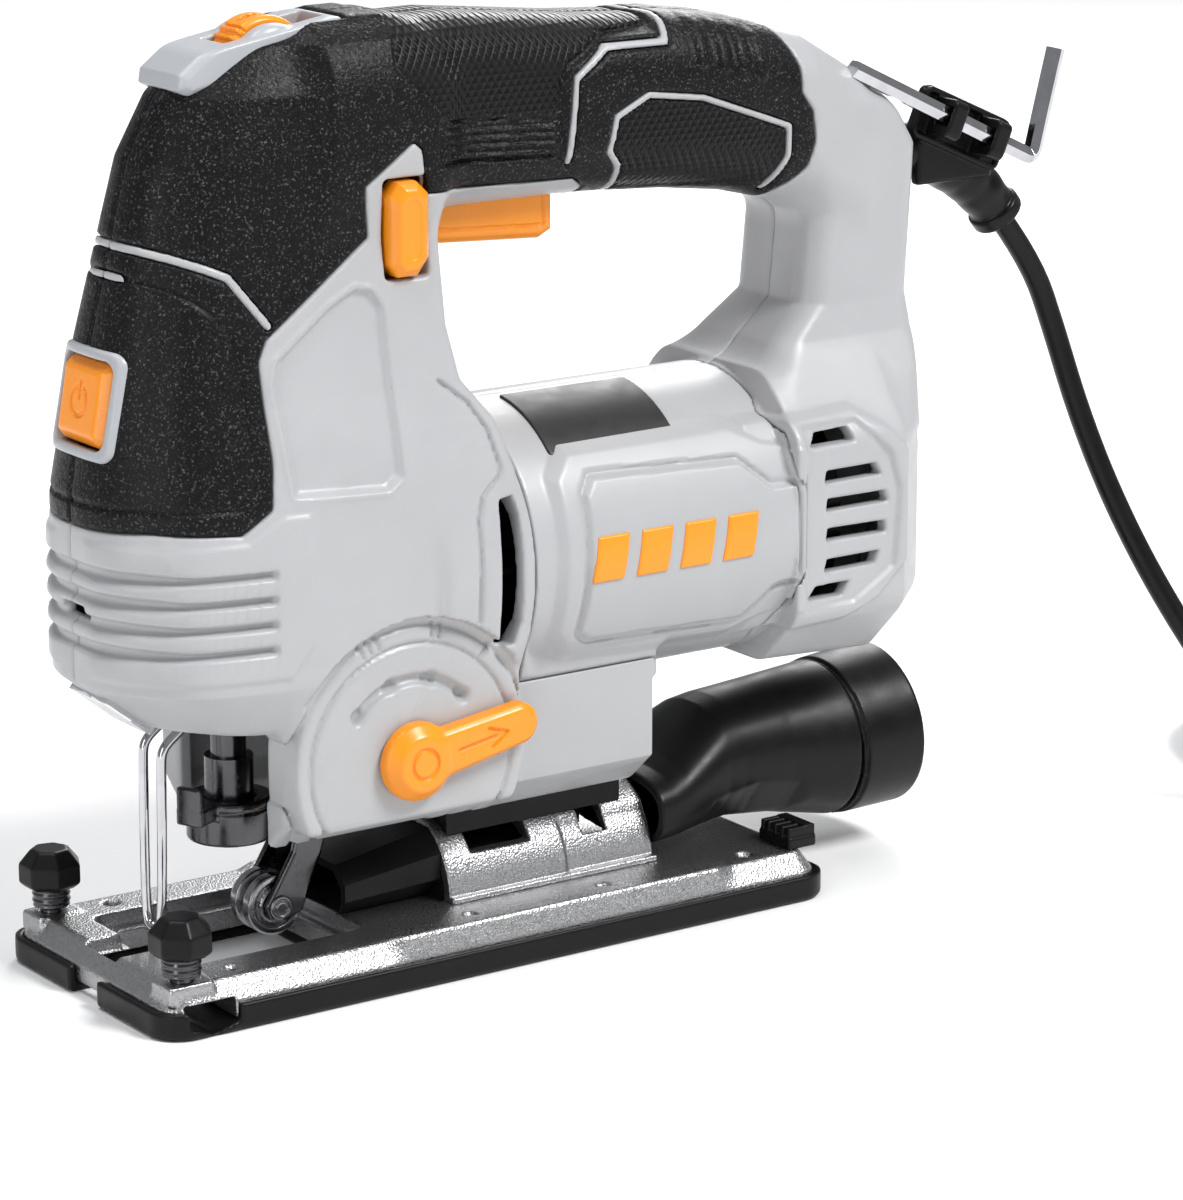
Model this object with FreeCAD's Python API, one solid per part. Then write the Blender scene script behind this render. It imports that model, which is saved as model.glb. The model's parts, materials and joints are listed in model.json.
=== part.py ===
"""Corded orbital jigsaw with a D-handle: every piece as its own solid, in millimetres.

While a piece is shaped, x is measured rearwards from the sole's front edge, y from the blade's
plane and z up from the sole's underside.  export() then moves it so that the origin lies under
the middle of the tool's length.
"""
import FreeCAD, Part
import math
import os

Vec = FreeCAD.Vector

# ---- driving dimensions -------------------------------------------------------------------
TOOL_MID = 111.2           # x of the middle of the tool's length
SOLE_LENGTH = 180.4
SOLE_WIDTH = 74.0
SOLE_TOP = 11.1            # top face of the aluminium plate
COVER_FLOOR = 2.4          # thickness of the sole cover's floor
WALL = 3.2                 # shell plus overmould
SKIN = 1.4                 # depth of the soft overmould
SHAFT_Z = 89.3             # motor axis height
BARREL_R = 34.0
BARREL_FRONT, BARREL_REAR = 95.0, 171.0
UNDERSIDE_Z = 32.0         # lowest face of the housing
PLUNGER_X = 38.3
PLUNGER_R = 4.0
BEVEL_Z = 11.5             # height of the bevel axis
BRACKET_R = 18.0
BRACKET_X = (85.0, 142.0)
SELECTOR = (66.7, 51.7)    # x and z of the orbit selector's axis
ROLLER = (47.3, 14.3)      # x and z of the guide roller's axle
ARM_PIVOT = (57.0, 57.0)
ROLLER_R = 7.1
DIAL_AXIS = (49.0, 202.6)
DIAL_R = 11.2
TRIGGER_PIVOT = (82.0, 171.0)
MODULE = 0.8               # gear tooth module
PINION_TEETH, GEAR_TEETH = 12, 60
GEAR_Z = SHAFT_Z + MODULE * (PINION_TEETH + GEAR_TEETH) / 2
CRANK_R = 9.0              # half the plunger's stroke
YOKE_Z = GEAR_Z - 1.0      # height of the yoke at rest
KNOB_X, KNOB_Y = 8.5, 29.1
CORD_R = 2.9
RUN = 0.05                 # radial clearance of a running fit
GAP = 0.3                  # clearance between moving bodies


# ---- plain shapes -------------------------------------------------------------------------
def box(x0, x1, y0, y1, z0, z1):
    return Part.makeBox(x1 - x0, y1 - y0, z1 - z0, Vec(x0, y0, z0))


AXES = {"x": Vec(1, 0, 0), "y": Vec(0, 1, 0), "z": Vec(0, 0, 1)}


def rod(axis, start, radius, length, bore=0.0):
    """A round bar along an axis letter, with an optional bore."""
    bar = Part.makeCylinder(radius, length, Vec(*start), AXES[axis])
    if bore:
        bar = bar.cut(Part.makeCylinder(bore, length, Vec(*start), AXES[axis]))
    return bar


def join(shapes):
    shapes = list(shapes)
    return shapes[0].multiFuse(shapes[1:]).removeSplitter() if len(shapes) > 1 else shapes[0]


def group(shapes):
    return Part.makeCompound(list(shapes))


def mirrored(shape):
    """The same shape on the other side of the blade's plane."""
    return shape.mirror(Vec(0, 0, 0), Vec(0, 1, 0))


def both_sides(shape):
    return [shape, mirrored(shape)]


def side_plate(outline, y0, y1):
    """An outline of (x, z) points, filled and given thickness along y."""
    points = [Vec(x, y0, z) for x, z in outline]
    return Part.Face(Part.makePolygon(points + points[:1])).extrude(Vec(0, y1 - y0, 0))


def cross_bar(section, x0, x1):
    """A section of (y, z) points, drawn out along x."""
    points = [Vec(x0, y, z) for y, z in section]
    return Part.Face(Part.makePolygon(points + points[:1])).extrude(Vec(x1 - x0, 0, 0))


def loft(rings):
    wires = [Part.makePolygon([Vec(*p) for p in ring] + [Vec(*ring[0])]) for ring in rings]
    return Part.makeLoft(wires, True, True)


def wire_rod(points, radius):
    """Round wire with ball-shaped bends through a list of points."""
    pieces = []
    for a, b in zip(points, points[1:]):
        step = Vec(*b) - Vec(*a)
        pieces.append(Part.makeCylinder(radius, step.Length, Vec(*a), step))
    pieces += [Part.makeSphere(radius, Vec(*p)) for p in points[1:-1]]
    return join(pieces)


def ring_sector(axis_start, length, outer, inner, middle, half_angle):
    """Part of a tube along x, centred on an angle that is measured up from +y."""
    whole = rod("x", axis_start, outer, length, inner)
    x0, y0, z0 = axis_start
    reach = 3 * outer
    wedge = [(y0, z0)]
    for side in (-1.0, -0.5, 0.0, 0.5, 1.0):
        turn = math.radians(middle + side * half_angle)
        wedge.append((y0 + reach * math.cos(turn), z0 + reach * math.sin(turn)))
    return whole.common(cross_bar(wedge, x0, x0 + length))


# ---- outer form of the housing, at a depth below the surface ------------------------------
HEAD_LEVELS = [            # z, front x, half-widths at the front, corner and side, rear x
    (61.5, 14.0, 9.0, 25.0, 30.5, 95.0), (73.0, 0.0, 12.0, 28.0, 33.5, 95.0),
    (100.0, 0.0, 12.0, 28.0, 33.5, 95.0), (113.0, 0.2, 11.5, 27.0, 32.5, 95.0),
    (125.0, 2.2, 11.0, 25.0, 30.0, 91.0), (134.0, 3.8, 10.5, 23.5, 27.5, 84.0),
    (146.0, 5.9, 10.0, 22.0, 25.0, 82.0), (165.0, 10.7, 9.0, 19.5, 22.0, 82.0),
    (185.0, 15.9, 8.0, 17.0, 20.5, 84.0), (198.0, 22.5, 6.5, 14.5, 18.5, 84.0),
    (208.0, 33.0, 4.5, 10.0, 13.0, 80.0), (212.0, 43.0, 3.0, 6.5, 8.0, 76.0)]
GRIP_STATIONS = [          # x, lowest z, highest z, half-width
    (56.0, 166.0, 211.5, 20.0), (93.0, 168.5, 212.0, 19.5), (128.0, 168.5, 208.6, 19.5),
    (150.0, 167.2, 207.4, 20.0), (167.0, 165.1, 205.4, 20.0), (188.0, 160.0, 199.8, 18.5),
    (204.0, 152.0, 190.8, 15.5), (214.0, 158.0, 184.0, 11.0)]
POST_LEVELS = [            # z, front x, rear x, half-width
    (108.0, 168.0, 221.0, 29.0), (120.0, 171.0, 220.0, 23.0), (129.0, 178.0, 219.0, 18.0),
    (137.0, 187.0, 219.0, 15.5), (158.0, 189.0, 220.3, 15.5), (172.0, 184.0, 220.8, 16.0),
    (182.0, 176.0, 214.5, 15.0)]
CAP_STATIONS = [           # x, lowest z, highest z, half-width
    (171.0, 54.6, 124.0, 34.2), (203.0, 53.0, 122.0, 33.0), (213.0, 58.0, 116.0, 25.0),
    (221.8, 78.0, 108.5, 11.0)]


def octagon_x(x, low, high, half, corner):
    ys = (half, half - corner)
    zs = (low, low + corner, high - corner, high)
    right = [(x, ys[1], zs[0]), (x, ys[0], zs[1]), (x, ys[0], zs[2]), (x, ys[1], zs[3])]
    return right + [(x, -y, z) for _, y, z in reversed(right)]


def octagon_z(z, front, rear, half, corner):
    right = [(front, half - corner, z), (front + corner, half, z),
             (rear - corner, half, z), (rear, half - corner, z)]
    return right + [(x, -y, z) for x, y, _ in reversed(right)]


def head_form(depth):
    rings = []
    for z, front, nose, corner, side, rear in HEAD_LEVELS:
        reach = min(31.0, (rear - front) * 0.45)
        right = [(front + depth, nose - depth * 0.4), (front + 0.42 * reach + depth * 0.6, corner - depth),
                 (front + reach, side - depth), (rear - depth, side - depth)]
        z = min(max(z, 61.5 + depth), 212.0 - depth)
        rings.append([(x, y, z) for x, y in right] + [(x, -y, z) for x, y in reversed(right)])
    # the innermost levels may fall on one plane, where only the wider one is kept
    kept = [rings[0]] + [r for last, r in zip(rings, rings[1:]) if r[0][2] > last[0][2] + 0.2]
    return loft(kept)


def skirt_form(depth):
    """Lower block: round the plunger at the front, over the bevel bracket at the rear."""
    low, d = UNDERSIDE_Z + depth, depth
    front = [(18 - d * 0.4, low), (27 - d, 40 + d * 0.4), (28.5 - d, 62), (32 - d, 75)]
    rear = [(18 - d * 0.4, low), (27 - d, 40 + d * 0.4), (27 - d, 72)]
    bars = []
    for section, x0, x1 in ((front, 36.5 + depth, 95.0 - depth), (rear, 90.0, 137.0 - depth)):
        bars.append(cross_bar(section + [(-y, z) for y, z in reversed(section)], x0, x1))
    boss = rod("y", (SELECTOR[0], -31.5 + depth, SELECTOR[1]), 31.0 - depth, 63.0 - 2 * depth)
    bars.append(boss.common(box(36.5 + depth, 97.0 - depth, -40, 0, 38 + depth, 90)))
    return join(bars)


def grip_form(depth):
    rings = []
    for x, low, high, half in GRIP_STATIONS:
        x = min(x, GRIP_STATIONS[-1][0] - depth)
        rings.append(octagon_x(x, low + depth, high - depth, half - depth, half * 0.45))
    return loft(rings)


def post_form(depth):
    return loft([octagon_z(z, front + depth, rear - depth, half - depth, half * 0.42)
                 for z, front, rear, half in POST_LEVELS])


def cap_form(depth):
    rings = []
    for x, low, high, half in CAP_STATIONS:
        rings.append(octagon_x(min(x, CAP_STATIONS[-1][0] - depth), low + depth, high - depth,
                               half - depth * 0.9, half * 0.42))
    return loft(rings)


def housing_form(depth):
    return join([head_form(depth), skirt_form(depth), grip_form(depth), post_form(depth),
                 cap_form(depth)])


OVERMOULD = [(-5, 113), (20, 113.5), (41, 114), (47, 119), (46, 150), (53, 160), (70, 176),
             (80, 184), (84, 172.5), (124, 172.5), (128, 158), (181, 154), (190, 205),
             (186, 230), (-5, 230)]


# ---- housing ------------------------------------------------------------------------------
SCREWS = [(27.0, 168.0), (22.0, 82.0), (76.0, 202.0), (134.0, 180.0), (205.0, 146.0),
          (211.0, 70.0), (128.0, 44.0)]


def screw_reach(x, z, form):
    """How far the housing reaches along +y at a screw."""
    return rod("y", (x, 0, z), 4.2, 40.0).common(form).BoundBox.YMax


def housing_parts():
    outer = housing_form(0.0)
    skin = outer.cut(housing_form(SKIN)).common(side_plate(OVERMOULD, -40, 40))
    shell = outer.cut(housing_form(WALL)).cut(skin)
    bosses = [rod("y", (x, -40, z), 4.2, 80).common(outer) for x, z in SCREWS]
    shell = join([shell] + [b.cut(skin) for b in bosses])
    motor_room = rod("x", (79, 0, SHAFT_Z), 31.0, 95)
    barrel_seat = rod("x", (BARREL_FRONT, 0, SHAFT_Z), BARREL_R + RUN, BARREL_REAR - BARREL_FRONT)
    openings = [
        motor_room, barrel_seat,
        box(30, 79, -19, 19, 30, 61.4),                          # open well round the plunger
        rod("z", (PLUNGER_X, 0, 58), 8.0, 10),                   # plunger's way through the roof
        box(50, 79, -12, 12, 58, 66),                            # roller arm's way through the roof
        rod("y", (SELECTOR[0], -40, SELECTOR[1]), 31.3, 8.5),    # flat face under the selector's lever
        hex_bar(KEY[0], KEY[1], 4.7),                            # groove beside the stored hex key
        rod("y", (SELECTOR[0], -40, SELECTOR[1]), 4.0 + RUN, 40),
        box(83.5, 122.5, -9.5, 9.5, 158, 174),                   # trigger slot
        box(77.5, 84.0, -9.5, 9.5, 166, 178),
        rod("y", (TRIGGER_PIVOT[0], -16, TRIGGER_PIVOT[1]), 1.5, 32),
        box(66.5, 77.5, -32, -15, 157.2, 178.8),                 # lock button's window
        box(34.5, 62.5, -4.9, 4.9, 198, 216),                    # dial slot
        rod("x", (205, 0, 168.6), 5.5, 30),                      # cord's way out
        light_button_block(GAP, -3.0, 14.0),
        lens_block(0.0),
        rod("z", (127, 0, 30), 3.0, 20),                         # bevel bolt
    ]
    vents = []
    for z in (83.3, 89.5, 95.7, 101.9):
        vents += [box(179, 198, y, y + 14, z - 1.9, z + 1.9) for y in (-40, 26)]
    for z in (77.0, 108.3):
        vents += [box(176, 187, y, y + 16, z - 1.7, z + 1.7) for y in (-40, 24)]
    vents += [box(88.6, 93.6, y, y + 16, 74, 108) for y in (-40, 24)]
    screws = []
    for x, z in SCREWS:
        top = screw_reach(x, z, outer)
        screws.append(rod("y", (x, -10, z), 1.75, top - 5 + 10))
        screws.append(rod("y", (x, top - 5, z), 3.4, 20))
    shell = shell.cut(group(openings + vents)).cut(group(screws))
    skin = skin.cut(group(openings)).cut(group(screws))
    left, right = box(-10, 240, -60, 0, 0, 230), box(-10, 240, 0, 60, 0, 230)
    return {"housing_left": shell.common(left), "housing_right": shell.common(right),
            "grip_left": skin.common(left), "grip_right": skin.common(right),
            "housing_screws": housing_screws(outer), "control_bezels": control_bezels(outer)}


def housing_screws(outer):
    pieces = []
    for x, z in SCREWS:
        top = screw_reach(x, z, outer)
        shank = rod("y", (x, -9, z), 1.75, top - 5 + 9)
        head = rod("y", (x, top - 5, z), 3.3, 2.4)
        socket = rod("y", (x, top - 4.1, z), 1.5, 2.0)
        pieces.append(join([shank, head]).cut(socket))
    return group(pieces)


def motor_barrel():
    tube = rod("x", (BARREL_FRONT, 0, SHAFT_Z), BARREL_R, BARREL_REAR - BARREL_FRONT)
    panel = [(104, 80), (111, 73), (153, 73), (167, 80), (167, 99.5), (152, 112.5), (104, 112.5)]
    pads = both_sides(side_plate(panel, -35.2, -20))
    solid = join([tube] + pads)
    return solid.cut(rod("x", (BARREL_FRONT, 0, SHAFT_Z), 31.2, BARREL_REAR - BARREL_FRONT))


def light_button_block(grow, inside, outside):
    """The light button's space: a block whose faces follow the leaning front of the nose."""
    lean = math.radians(10.1)
    block = box(inside, outside, -10 - grow, 10 + grow, -9.5 - grow, 9.5 + grow)
    block.rotate(Vec(0, 0, 0), Vec(0, 1, 0), math.degrees(lean))
    block.translate(Vec(3.9, 0, 134.5))
    return block


def light_button():
    cap = light_button_block(0.0, -0.7, 4.5).fuse(light_button_block(-6.5, 4.4, 7.0))
    return cap.removeSplitter()


def light_board():
    """The lamp's small board and the switch behind the light button."""
    return group([light_button_block(-5.0, 8.6, 15.0), box(9.5, 15.5, -6, 6, 71.8, 73.2)])


def lens_block(grow):
    """Clear window in the slanted underside of the nose."""
    outline = [(3.2, 69.2), (14.2, 60.4), (16.0, 62.7), (5.0, 71.5)]
    return side_plate(outline, -8.0 - grow, 8.0 + grow)


def control_bezels(outer):
    """Frames round the speed dial and round the light button."""
    outline = [(27, 199), (68, 205), (68, 213.2), (58, 214.0), (40, 212.4), (30, 206.6), (24.0, 201)]
    dial = side_plate(outline, -8.5, 8.5).cut(box(34.5, 62.5, -4.9, 4.9, 190, 220))
    button = light_button_block(2.2, -0.5, 1.5).cut(light_button_block(GAP, -3, 14))
    return group([dial.cut(outer), button.cut(outer)])


def rating_label():
    x0, x1 = 108.0, 143.0
    return ring_sector((x0, 0, SHAFT_Z), x1 - x0, BARREL_R + 0.25, BARREL_R, 116, 20)


def side_badge():
    """Raised slanted bars in the middle of each side panel."""
    bars = []
    for place in range(4):
        x = 114 + place * 12
        outline = [(x, 86.5), (x + 7.5, 86.5), (x + 9.5, 95.5), (x + 2, 95.5)]
        bars += both_sides(side_plate(outline, -35.8, -35.2))
    return group(bars)


def guard_wire():
    points = [(27, -4, 64), (25.5, -4, 61.0), (19, -4, 54.5), (18.5, -3.6, 18), (18.3, -1.6, 13.6),
              (18.3, 1.6, 13.6), (18.5, 3.6, 18), (19, 4, 54.5), (25.5, 4, 61.0), (27, 4, 64)]
    return wire_rod(points, 1.1)


# ---- drive --------------------------------------------------------------------------------
def bearing(x0, bore, outer, width):
    """Ball bearing along x: two rings with a row of balls between them."""
    mid = (bore + outer) / 2
    ball = (outer - bore) * 0.25
    race = Part.makeTorus(mid, ball + 0.02, Vec(x0 + width / 2, 0, SHAFT_Z), Vec(1, 0, 0))
    inner = rod("x", (x0, 0, SHAFT_Z), mid - ball * 0.6, width, bore).cut(race)
    outer_ring = rod("x", (x0, 0, SHAFT_Z), outer, width, mid + ball * 0.6).cut(race)
    balls = []
    for k in range(8):
        turn = k * math.tau / 8
        balls.append(Part.makeSphere(ball, Vec(x0 + width / 2, mid * math.cos(turn),
                                               SHAFT_Z + mid * math.sin(turn))))
    return group([inner, outer_ring] + balls)


def ball_bearings():
    """Front and rear bearings of the motor shaft."""
    return group(bearing(79.5, 4.03, 11.0, 7.0).Solids + bearing(180.0, 4.03, 11.0, 7.0).Solids)


def gear_outline(teeth, x, y0, z0, phase, backlash=0.10):
    """Involute spur teeth in the plane at x, as one closed wire."""
    pressure = math.radians(25)
    pitch = MODULE * teeth / 2
    base = pitch * math.cos(pressure)
    tip, root = pitch + 0.85 * MODULE, pitch - 1.15 * MODULE
    half = math.pi / (2 * teeth) - backlash / (2 * pitch)
    involute = lambda r: math.sqrt(max((r / base) ** 2 - 1, 0)) - math.acos(min(base / r, 1))
    start = max(root, base)
    points = []
    for k in range(teeth):
        middle = phase + k * math.tau / teeth
        flank = []
        for step in range(5):
            r = start + (tip - start) * step / 4
            flank.append((r, half + involute(pitch) - involute(r)))
        if root < base:
            flank.insert(0, (root, flank[0][1]))
        for r, a in flank:
            points.append((r, middle - a))
        for r, a in reversed(flank):
            points.append((r, middle + a))
    ring = [Vec(x, y0 + r * math.cos(a), z0 + r * math.sin(a)) for r, a in points]
    return Part.Face(Part.makePolygon(ring + ring[:1]))


def armature_shaft():
    shaft = rod("x", (60, 0, SHAFT_Z), 3.2, 19.4).fuse(rod("x", (79.4, 0, SHAFT_Z), 4.0, 108.4))
    pinion = gear_outline(PINION_TEETH, 61.5, 0, SHAFT_Z, math.pi / 2 + math.pi / PINION_TEETH)
    return join([shaft, pinion.extrude(Vec(16.5, 0, 0))])


def drive_gear():
    wheel = gear_outline(GEAR_TEETH, 62.5, 0, GEAR_Z, -math.pi / 2).extrude(Vec(7.5, 0, 0))
    hub = rod("x", (62.5, 0, GEAR_Z), 8.0, 15.0)
    weight = ring_sector((58.5, 0, GEAR_Z), 4.1, 22.0, 9.0, 180, 62)
    drop = YOKE_Z - GEAR_Z
    crank = rod("x", (52.4, math.sqrt(CRANK_R ** 2 - drop ** 2), YOKE_Z), 3.2, 10.2)
    return join([wheel, hub, weight, crank]).cut(rod("x", (50, 0, GEAR_Z), 4.0 + RUN, 40))


def pivot_pins():
    """Fixed pins of the drive gear, the trigger and the roller arm."""
    return group([rod("x", (60, 0, GEAR_Z), 4.0, 26.5),
                  rod("y", (TRIGGER_PIVOT[0], -16, TRIGGER_PIVOT[1]), 1.5, 32),
                  rod("y", (ARM_PIVOT[0], -11, ARM_PIVOT[1]), 2.0, 22)])


def gearbox_frame():
    """Motor end shield with two webs that carry the arms for the plunger's bushes."""
    disc = rod("x", (79.5, 0, SHAFT_Z), 28.0, 7.0)
    plate = box(79.5, 84.5, -15, 15, 100, 127)
    webs = both_sides(box(71.5, 79.5, 10.0, 14.0, 65, 127))
    webs += both_sides(box(71.5, 78.0, 10.0, 14.0, 120, 153))
    arms = [box(30, 78, -11, 11, 65, 77), box(30, 78, -10.5, 10.5, 145, 153)]
    lugs = both_sides(box(52.5, 61.5, 8.2, 11, 52.5, 66))
    cuts = [rod("x", (79, 0, SHAFT_Z), 11.0, 8), rod("x", (79, 0, GEAR_Z), 4.0, 8),
            rod("y", (ARM_PIVOT[0], -12, ARM_PIVOT[1]), 2.0, 24),
            rod("z", (PLUNGER_X, 0, 60), 7.0, 100)]
    return join([disc, plate] + webs + arms + lugs).cut(group(cuts))


def plunger_bushes():
    return group([rod("z", (PLUNGER_X, 0, z), 7.0, h, PLUNGER_R + RUN) for z, h in ((65, 12), (145, 8))])


def fan():
    hub = rod("x", (90, 0, SHAFT_Z), 8.0, 10)
    disc = rod("x", (98.4, 0, SHAFT_Z), 27.5, 1.6)
    blades = []
    for k in range(12):
        blade = box(90, 98.6, -0.7, 0.7, SHAFT_Z + 7.5, SHAFT_Z + 27)
        blade.rotate(Vec(0, 0, SHAFT_Z), Vec(1, 0, 0), k * 30)
        blades.append(blade)
    return join([hub, disc] + blades).cut(rod("x", (89, 0, SHAFT_Z), 4.0, 12))


def armature_core():
    core = rod("x", (112, 0, SHAFT_Z), 16.0, 36, 4.0)
    slots = []
    for k in range(12):
        slot = box(111, 149, -1.4, 1.4, SHAFT_Z + 9, SHAFT_Z + 17)
        slot.rotate(Vec(0, 0, SHAFT_Z), Vec(1, 0, 0), k * 30)
        slots.append(slot)
    return core.cut(group(slots))


def armature_windings():
    """Copper in the slots and the two end turns."""
    bars = []
    for k in range(12):
        bar = box(111.9, 148.1, -1.3, 1.3, SHAFT_Z + 9.2, SHAFT_Z + 14.6)
        bar.rotate(Vec(0, 0, SHAFT_Z), Vec(1, 0, 0), k * 30)
        bars.append(bar)
    ends = [rod("x", (x, 0, SHAFT_Z), 14.6, 7.0, 4.0) for x in (105, 148)]
    return join(ends + bars)


def commutator():
    drum = rod("x", (157, 0, SHAFT_Z), 11.0, 15, 4.0)
    grooves = []
    for k in range(24):
        groove = box(158.5, 173, -0.25, 0.25, SHAFT_Z + 10.3, SHAFT_Z + 12)
        groove.rotate(Vec(0, 0, SHAFT_Z), Vec(1, 0, 0), k * 15 + 7.5)
        grooves.append(groove)
    return drum.cut(group(grooves))


def stator_core():
    yoke = rod("x", (112, 0, SHAFT_Z), 30.6, 36, 25.0)
    poles = [box(112, 148, -11, 11, SHAFT_Z + 17, SHAFT_Z + 27),
             box(112, 148, -11, 11, SHAFT_Z - 27, SHAFT_Z - 17)]
    shoes = [ring_sector((112, 0, SHAFT_Z), 36, 20.0, 16.5, angle, 55) for angle in (90, 270)]
    return join([yoke] + poles + shoes).cut(rod("x", (111, 0, SHAFT_Z), 16.5, 38))


def field_coils():
    coils = []
    for angle, sign in ((90, 1), (270, -1)):
        ring = ring_sector((105.5, 0, SHAFT_Z), 49, 24.7, 20.3, angle, 57)
        low, high = sorted((SHAFT_Z + sign * 15, SHAFT_Z + sign * 30))
        coils.append(ring.cut(box(111, 149, -11.3, 11.3, low, high)))
    return group(coils)


def brush_holders():
    plate = rod("x", (171.2, 0, SHAFT_Z), 29.5, 1.8, 13.0)
    tubes = both_sides(box(161, 171.2, 12.5, 28, SHAFT_Z - 5, SHAFT_Z + 5))
    insides = both_sides(box(163, 169.5, 12, 28.6, SHAFT_Z - 3.5, SHAFT_Z + 3.5))
    return join([plate] + tubes).cut(group(insides))


def carbon_brushes():
    return group(both_sides(box(163, 169.5, 11.15, 24, SHAFT_Z - 3.5, SHAFT_Z + 3.5)))


def rear_bracket():
    plate = rod("x", (178.5, 0, SHAFT_Z), 28.5, 9.0)
    cuts = [rod("x", (178, 0, SHAFT_Z), 11.0, 10)]
    for k in range(6):
        turn = math.radians(k * 60)
        cuts.append(rod("x", (178, 20 * math.cos(turn), SHAFT_Z + 20 * math.sin(turn)), 5.5, 10))
    return plate.cut(group(cuts))


# ---- plunger and blade clamp ----------------------------------------------------------------
def plunger_rod():
    bar = rod("z", (PLUNGER_X, 0, 50.2), PLUNGER_R, 118)
    yoke = box(41, 52.0, -17, 17, YOKE_Z - 7.5, YOKE_Z + 7.5)
    slot = box(44.5, 53, -13, 13, YOKE_Z - 3.6, YOKE_Z + 3.6)
    return join([bar, yoke.cut(slot)])


def blade_clamp():
    """Collar under the rod with the flanged blade socket and its through slot."""
    collar = rod("z", (PLUNGER_X, 0, 41.2), 5.5, 9.0)
    core = rod("z", (PLUNGER_X, 0, 30.2), 6.0, 11.0)
    slot = box(PLUNGER_X - 4.0, PLUNGER_X + 4.0, -0.9, 0.9, 30, 48)
    return join([collar, core]).cut(slot)


def clamp_lever():
    """Turning ring round the socket, with the tab that a finger pushes."""
    ring = rod("z", (PLUNGER_X, 0, 31.2), 9.7, 9.8, 6.0 + RUN)
    tab = box(-15.6, -8.6, -3.2, 3.2, 37.5, 40.9).fuse(box(-15.6, -14.0, -3.2, 3.2, 37.5, 46.2))
    tab.rotate(Vec(0, 0, 0), Vec(0, 0, 1), 24)
    tab.translate(Vec(PLUNGER_X, 0, 0))
    return join([ring, tab])


# ---- guide roller and its arm ---------------------------------------------------------------
def roller_arm():
    x0, z0 = ROLLER
    x1, z1 = ARM_PIVOT
    cheek = [(x0 - 3.0, z0 - 1), (x0 + 1, z0 - 3.6), (x0 + 6, z0 - 2), (58.5, 25), (61.5, 36),
             (61.0, z1 + 3), (x1 - 3.5, z1 + 3.4), (53.2, 36), (51.0, 26.5), (x0 - 1.5, z0 + 3.4)]
    cheeks = both_sides(side_plate(cheek, 4.6, 6.4))
    bridge = side_plate([(52.0, 29), (60, 28), (61.5, 36), (61.0, z1 + 3), (x1 - 3.5, z1 + 3.4),
                         (53.4, 36)], -6.4, 6.4)
    hub = rod("y", (x1, -8.0, z1), 4.0, 16.0)
    arm = join(cheeks + [bridge, hub])
    return arm.cut(group([rod("y", (x0, -8, z0), 2.0, 16), rod("y", (x1, -9, z1), 2.0 + RUN, 18)]))


def roller_axle():
    x0, z0 = ROLLER
    return join([rod("y", (x0, -6.4, z0), 2.0, 12.8), rod("y", (x0, -7.0, z0), 2.7, 0.6),
                 rod("y", (x0, 6.4, z0), 2.7, 0.6)])


def guide_roller():
    """Grooved roller that backs the blade."""
    half, bore = 4.3, 2.0 + RUN
    profile = [(bore, -half), (ROLLER_R, -half), (ROLLER_R, -1.3), (ROLLER_R - 2.2, -0.6),
               (ROLLER_R - 2.2, 0.6), (ROLLER_R, 1.3), (ROLLER_R, half), (bore, half)]
    points = [Vec(ROLLER[0] + r, y, ROLLER[1]) for r, y in profile]
    face = Part.Face(Part.makePolygon(points + points[:1]))
    return face.revolve(Vec(ROLLER[0], 0, ROLLER[1]), Vec(0, 1, 0), 360)


# ---- orbit selector ---------------------------------------------------------------------------
def orbit_selector():
    x0, z0 = SELECTOR
    lever = box(0, 26.5, -36.0, -31.9, -4.8, 4.8)
    for dx in (0.0, 26.5):
        lever = lever.fuse(rod("y", (dx, -36.0, 0), 4.8 if dx else 9.0, 4.1))
    lever = lever.removeSplitter()
    lever.rotate(Vec(0, 0, 0), Vec(0, 1, 0), -10)
    lever.translate(Vec(x0, 0, z0))
    cap = rod("y", (x0, -36.8, z0), 7.5, 1.0)
    shaft = rod("y", (x0, -32, z0), 4.0, 22.5)
    flat = box(x0 - 5, x0 - 2.2, -16, -9, z0 - 5, z0 + 5)
    return join([lever, cap, shaft.cut(flat)])


# ---- controls ---------------------------------------------------------------------------------
def trigger():
    blade = [(86.5, 161.8), (88, 160.4), (117, 158.8), (120.6, 160.6), (120.6, 174.0), (79.5, 174.0),
             (78.6, 169.0), (81, 167.0)]
    body = side_plate(blade, -9.0, 9.0)
    top = box(84, 119, -7.0, 7.0, 173.5, 177.0)
    return join([body, top]).cut(rod("y", (TRIGGER_PIVOT[0], -10, TRIGGER_PIVOT[1]), 1.5 + RUN, 20))


def lock_button():
    face = side_plate([(67, 160.5), (69, 157.6), (74, 157.6), (77, 161.5), (77, 175.5), (74, 178.4),
                       (69.5, 178.4), (67, 175)], -25.8, -19.0)
    stem = box(70, 74, -19.5, -13.5, 164, 171)
    return join([face, stem])


def switch_module():
    return box(92, 126, -10, 10, 184, 203).fuse(box(95, 100, -3, 3, 181, 184.5)).removeSplitter()


def speed_dial():
    x0, z0 = DIAL_AXIS
    wheel = rod("y", (x0, -4.3, z0), DIAL_R, 8.6)
    notches = []
    for k in range(40):
        turn = math.tau * k / 40
        notches.append(rod("y", (x0 + DIAL_R * math.cos(turn), -5, z0 + DIAL_R * math.sin(turn)), 0.5, 10))
    return wheel.cut(group(notches)).cut(rod("y", (x0, -5, z0), 2.0 + RUN, 10))


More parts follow.
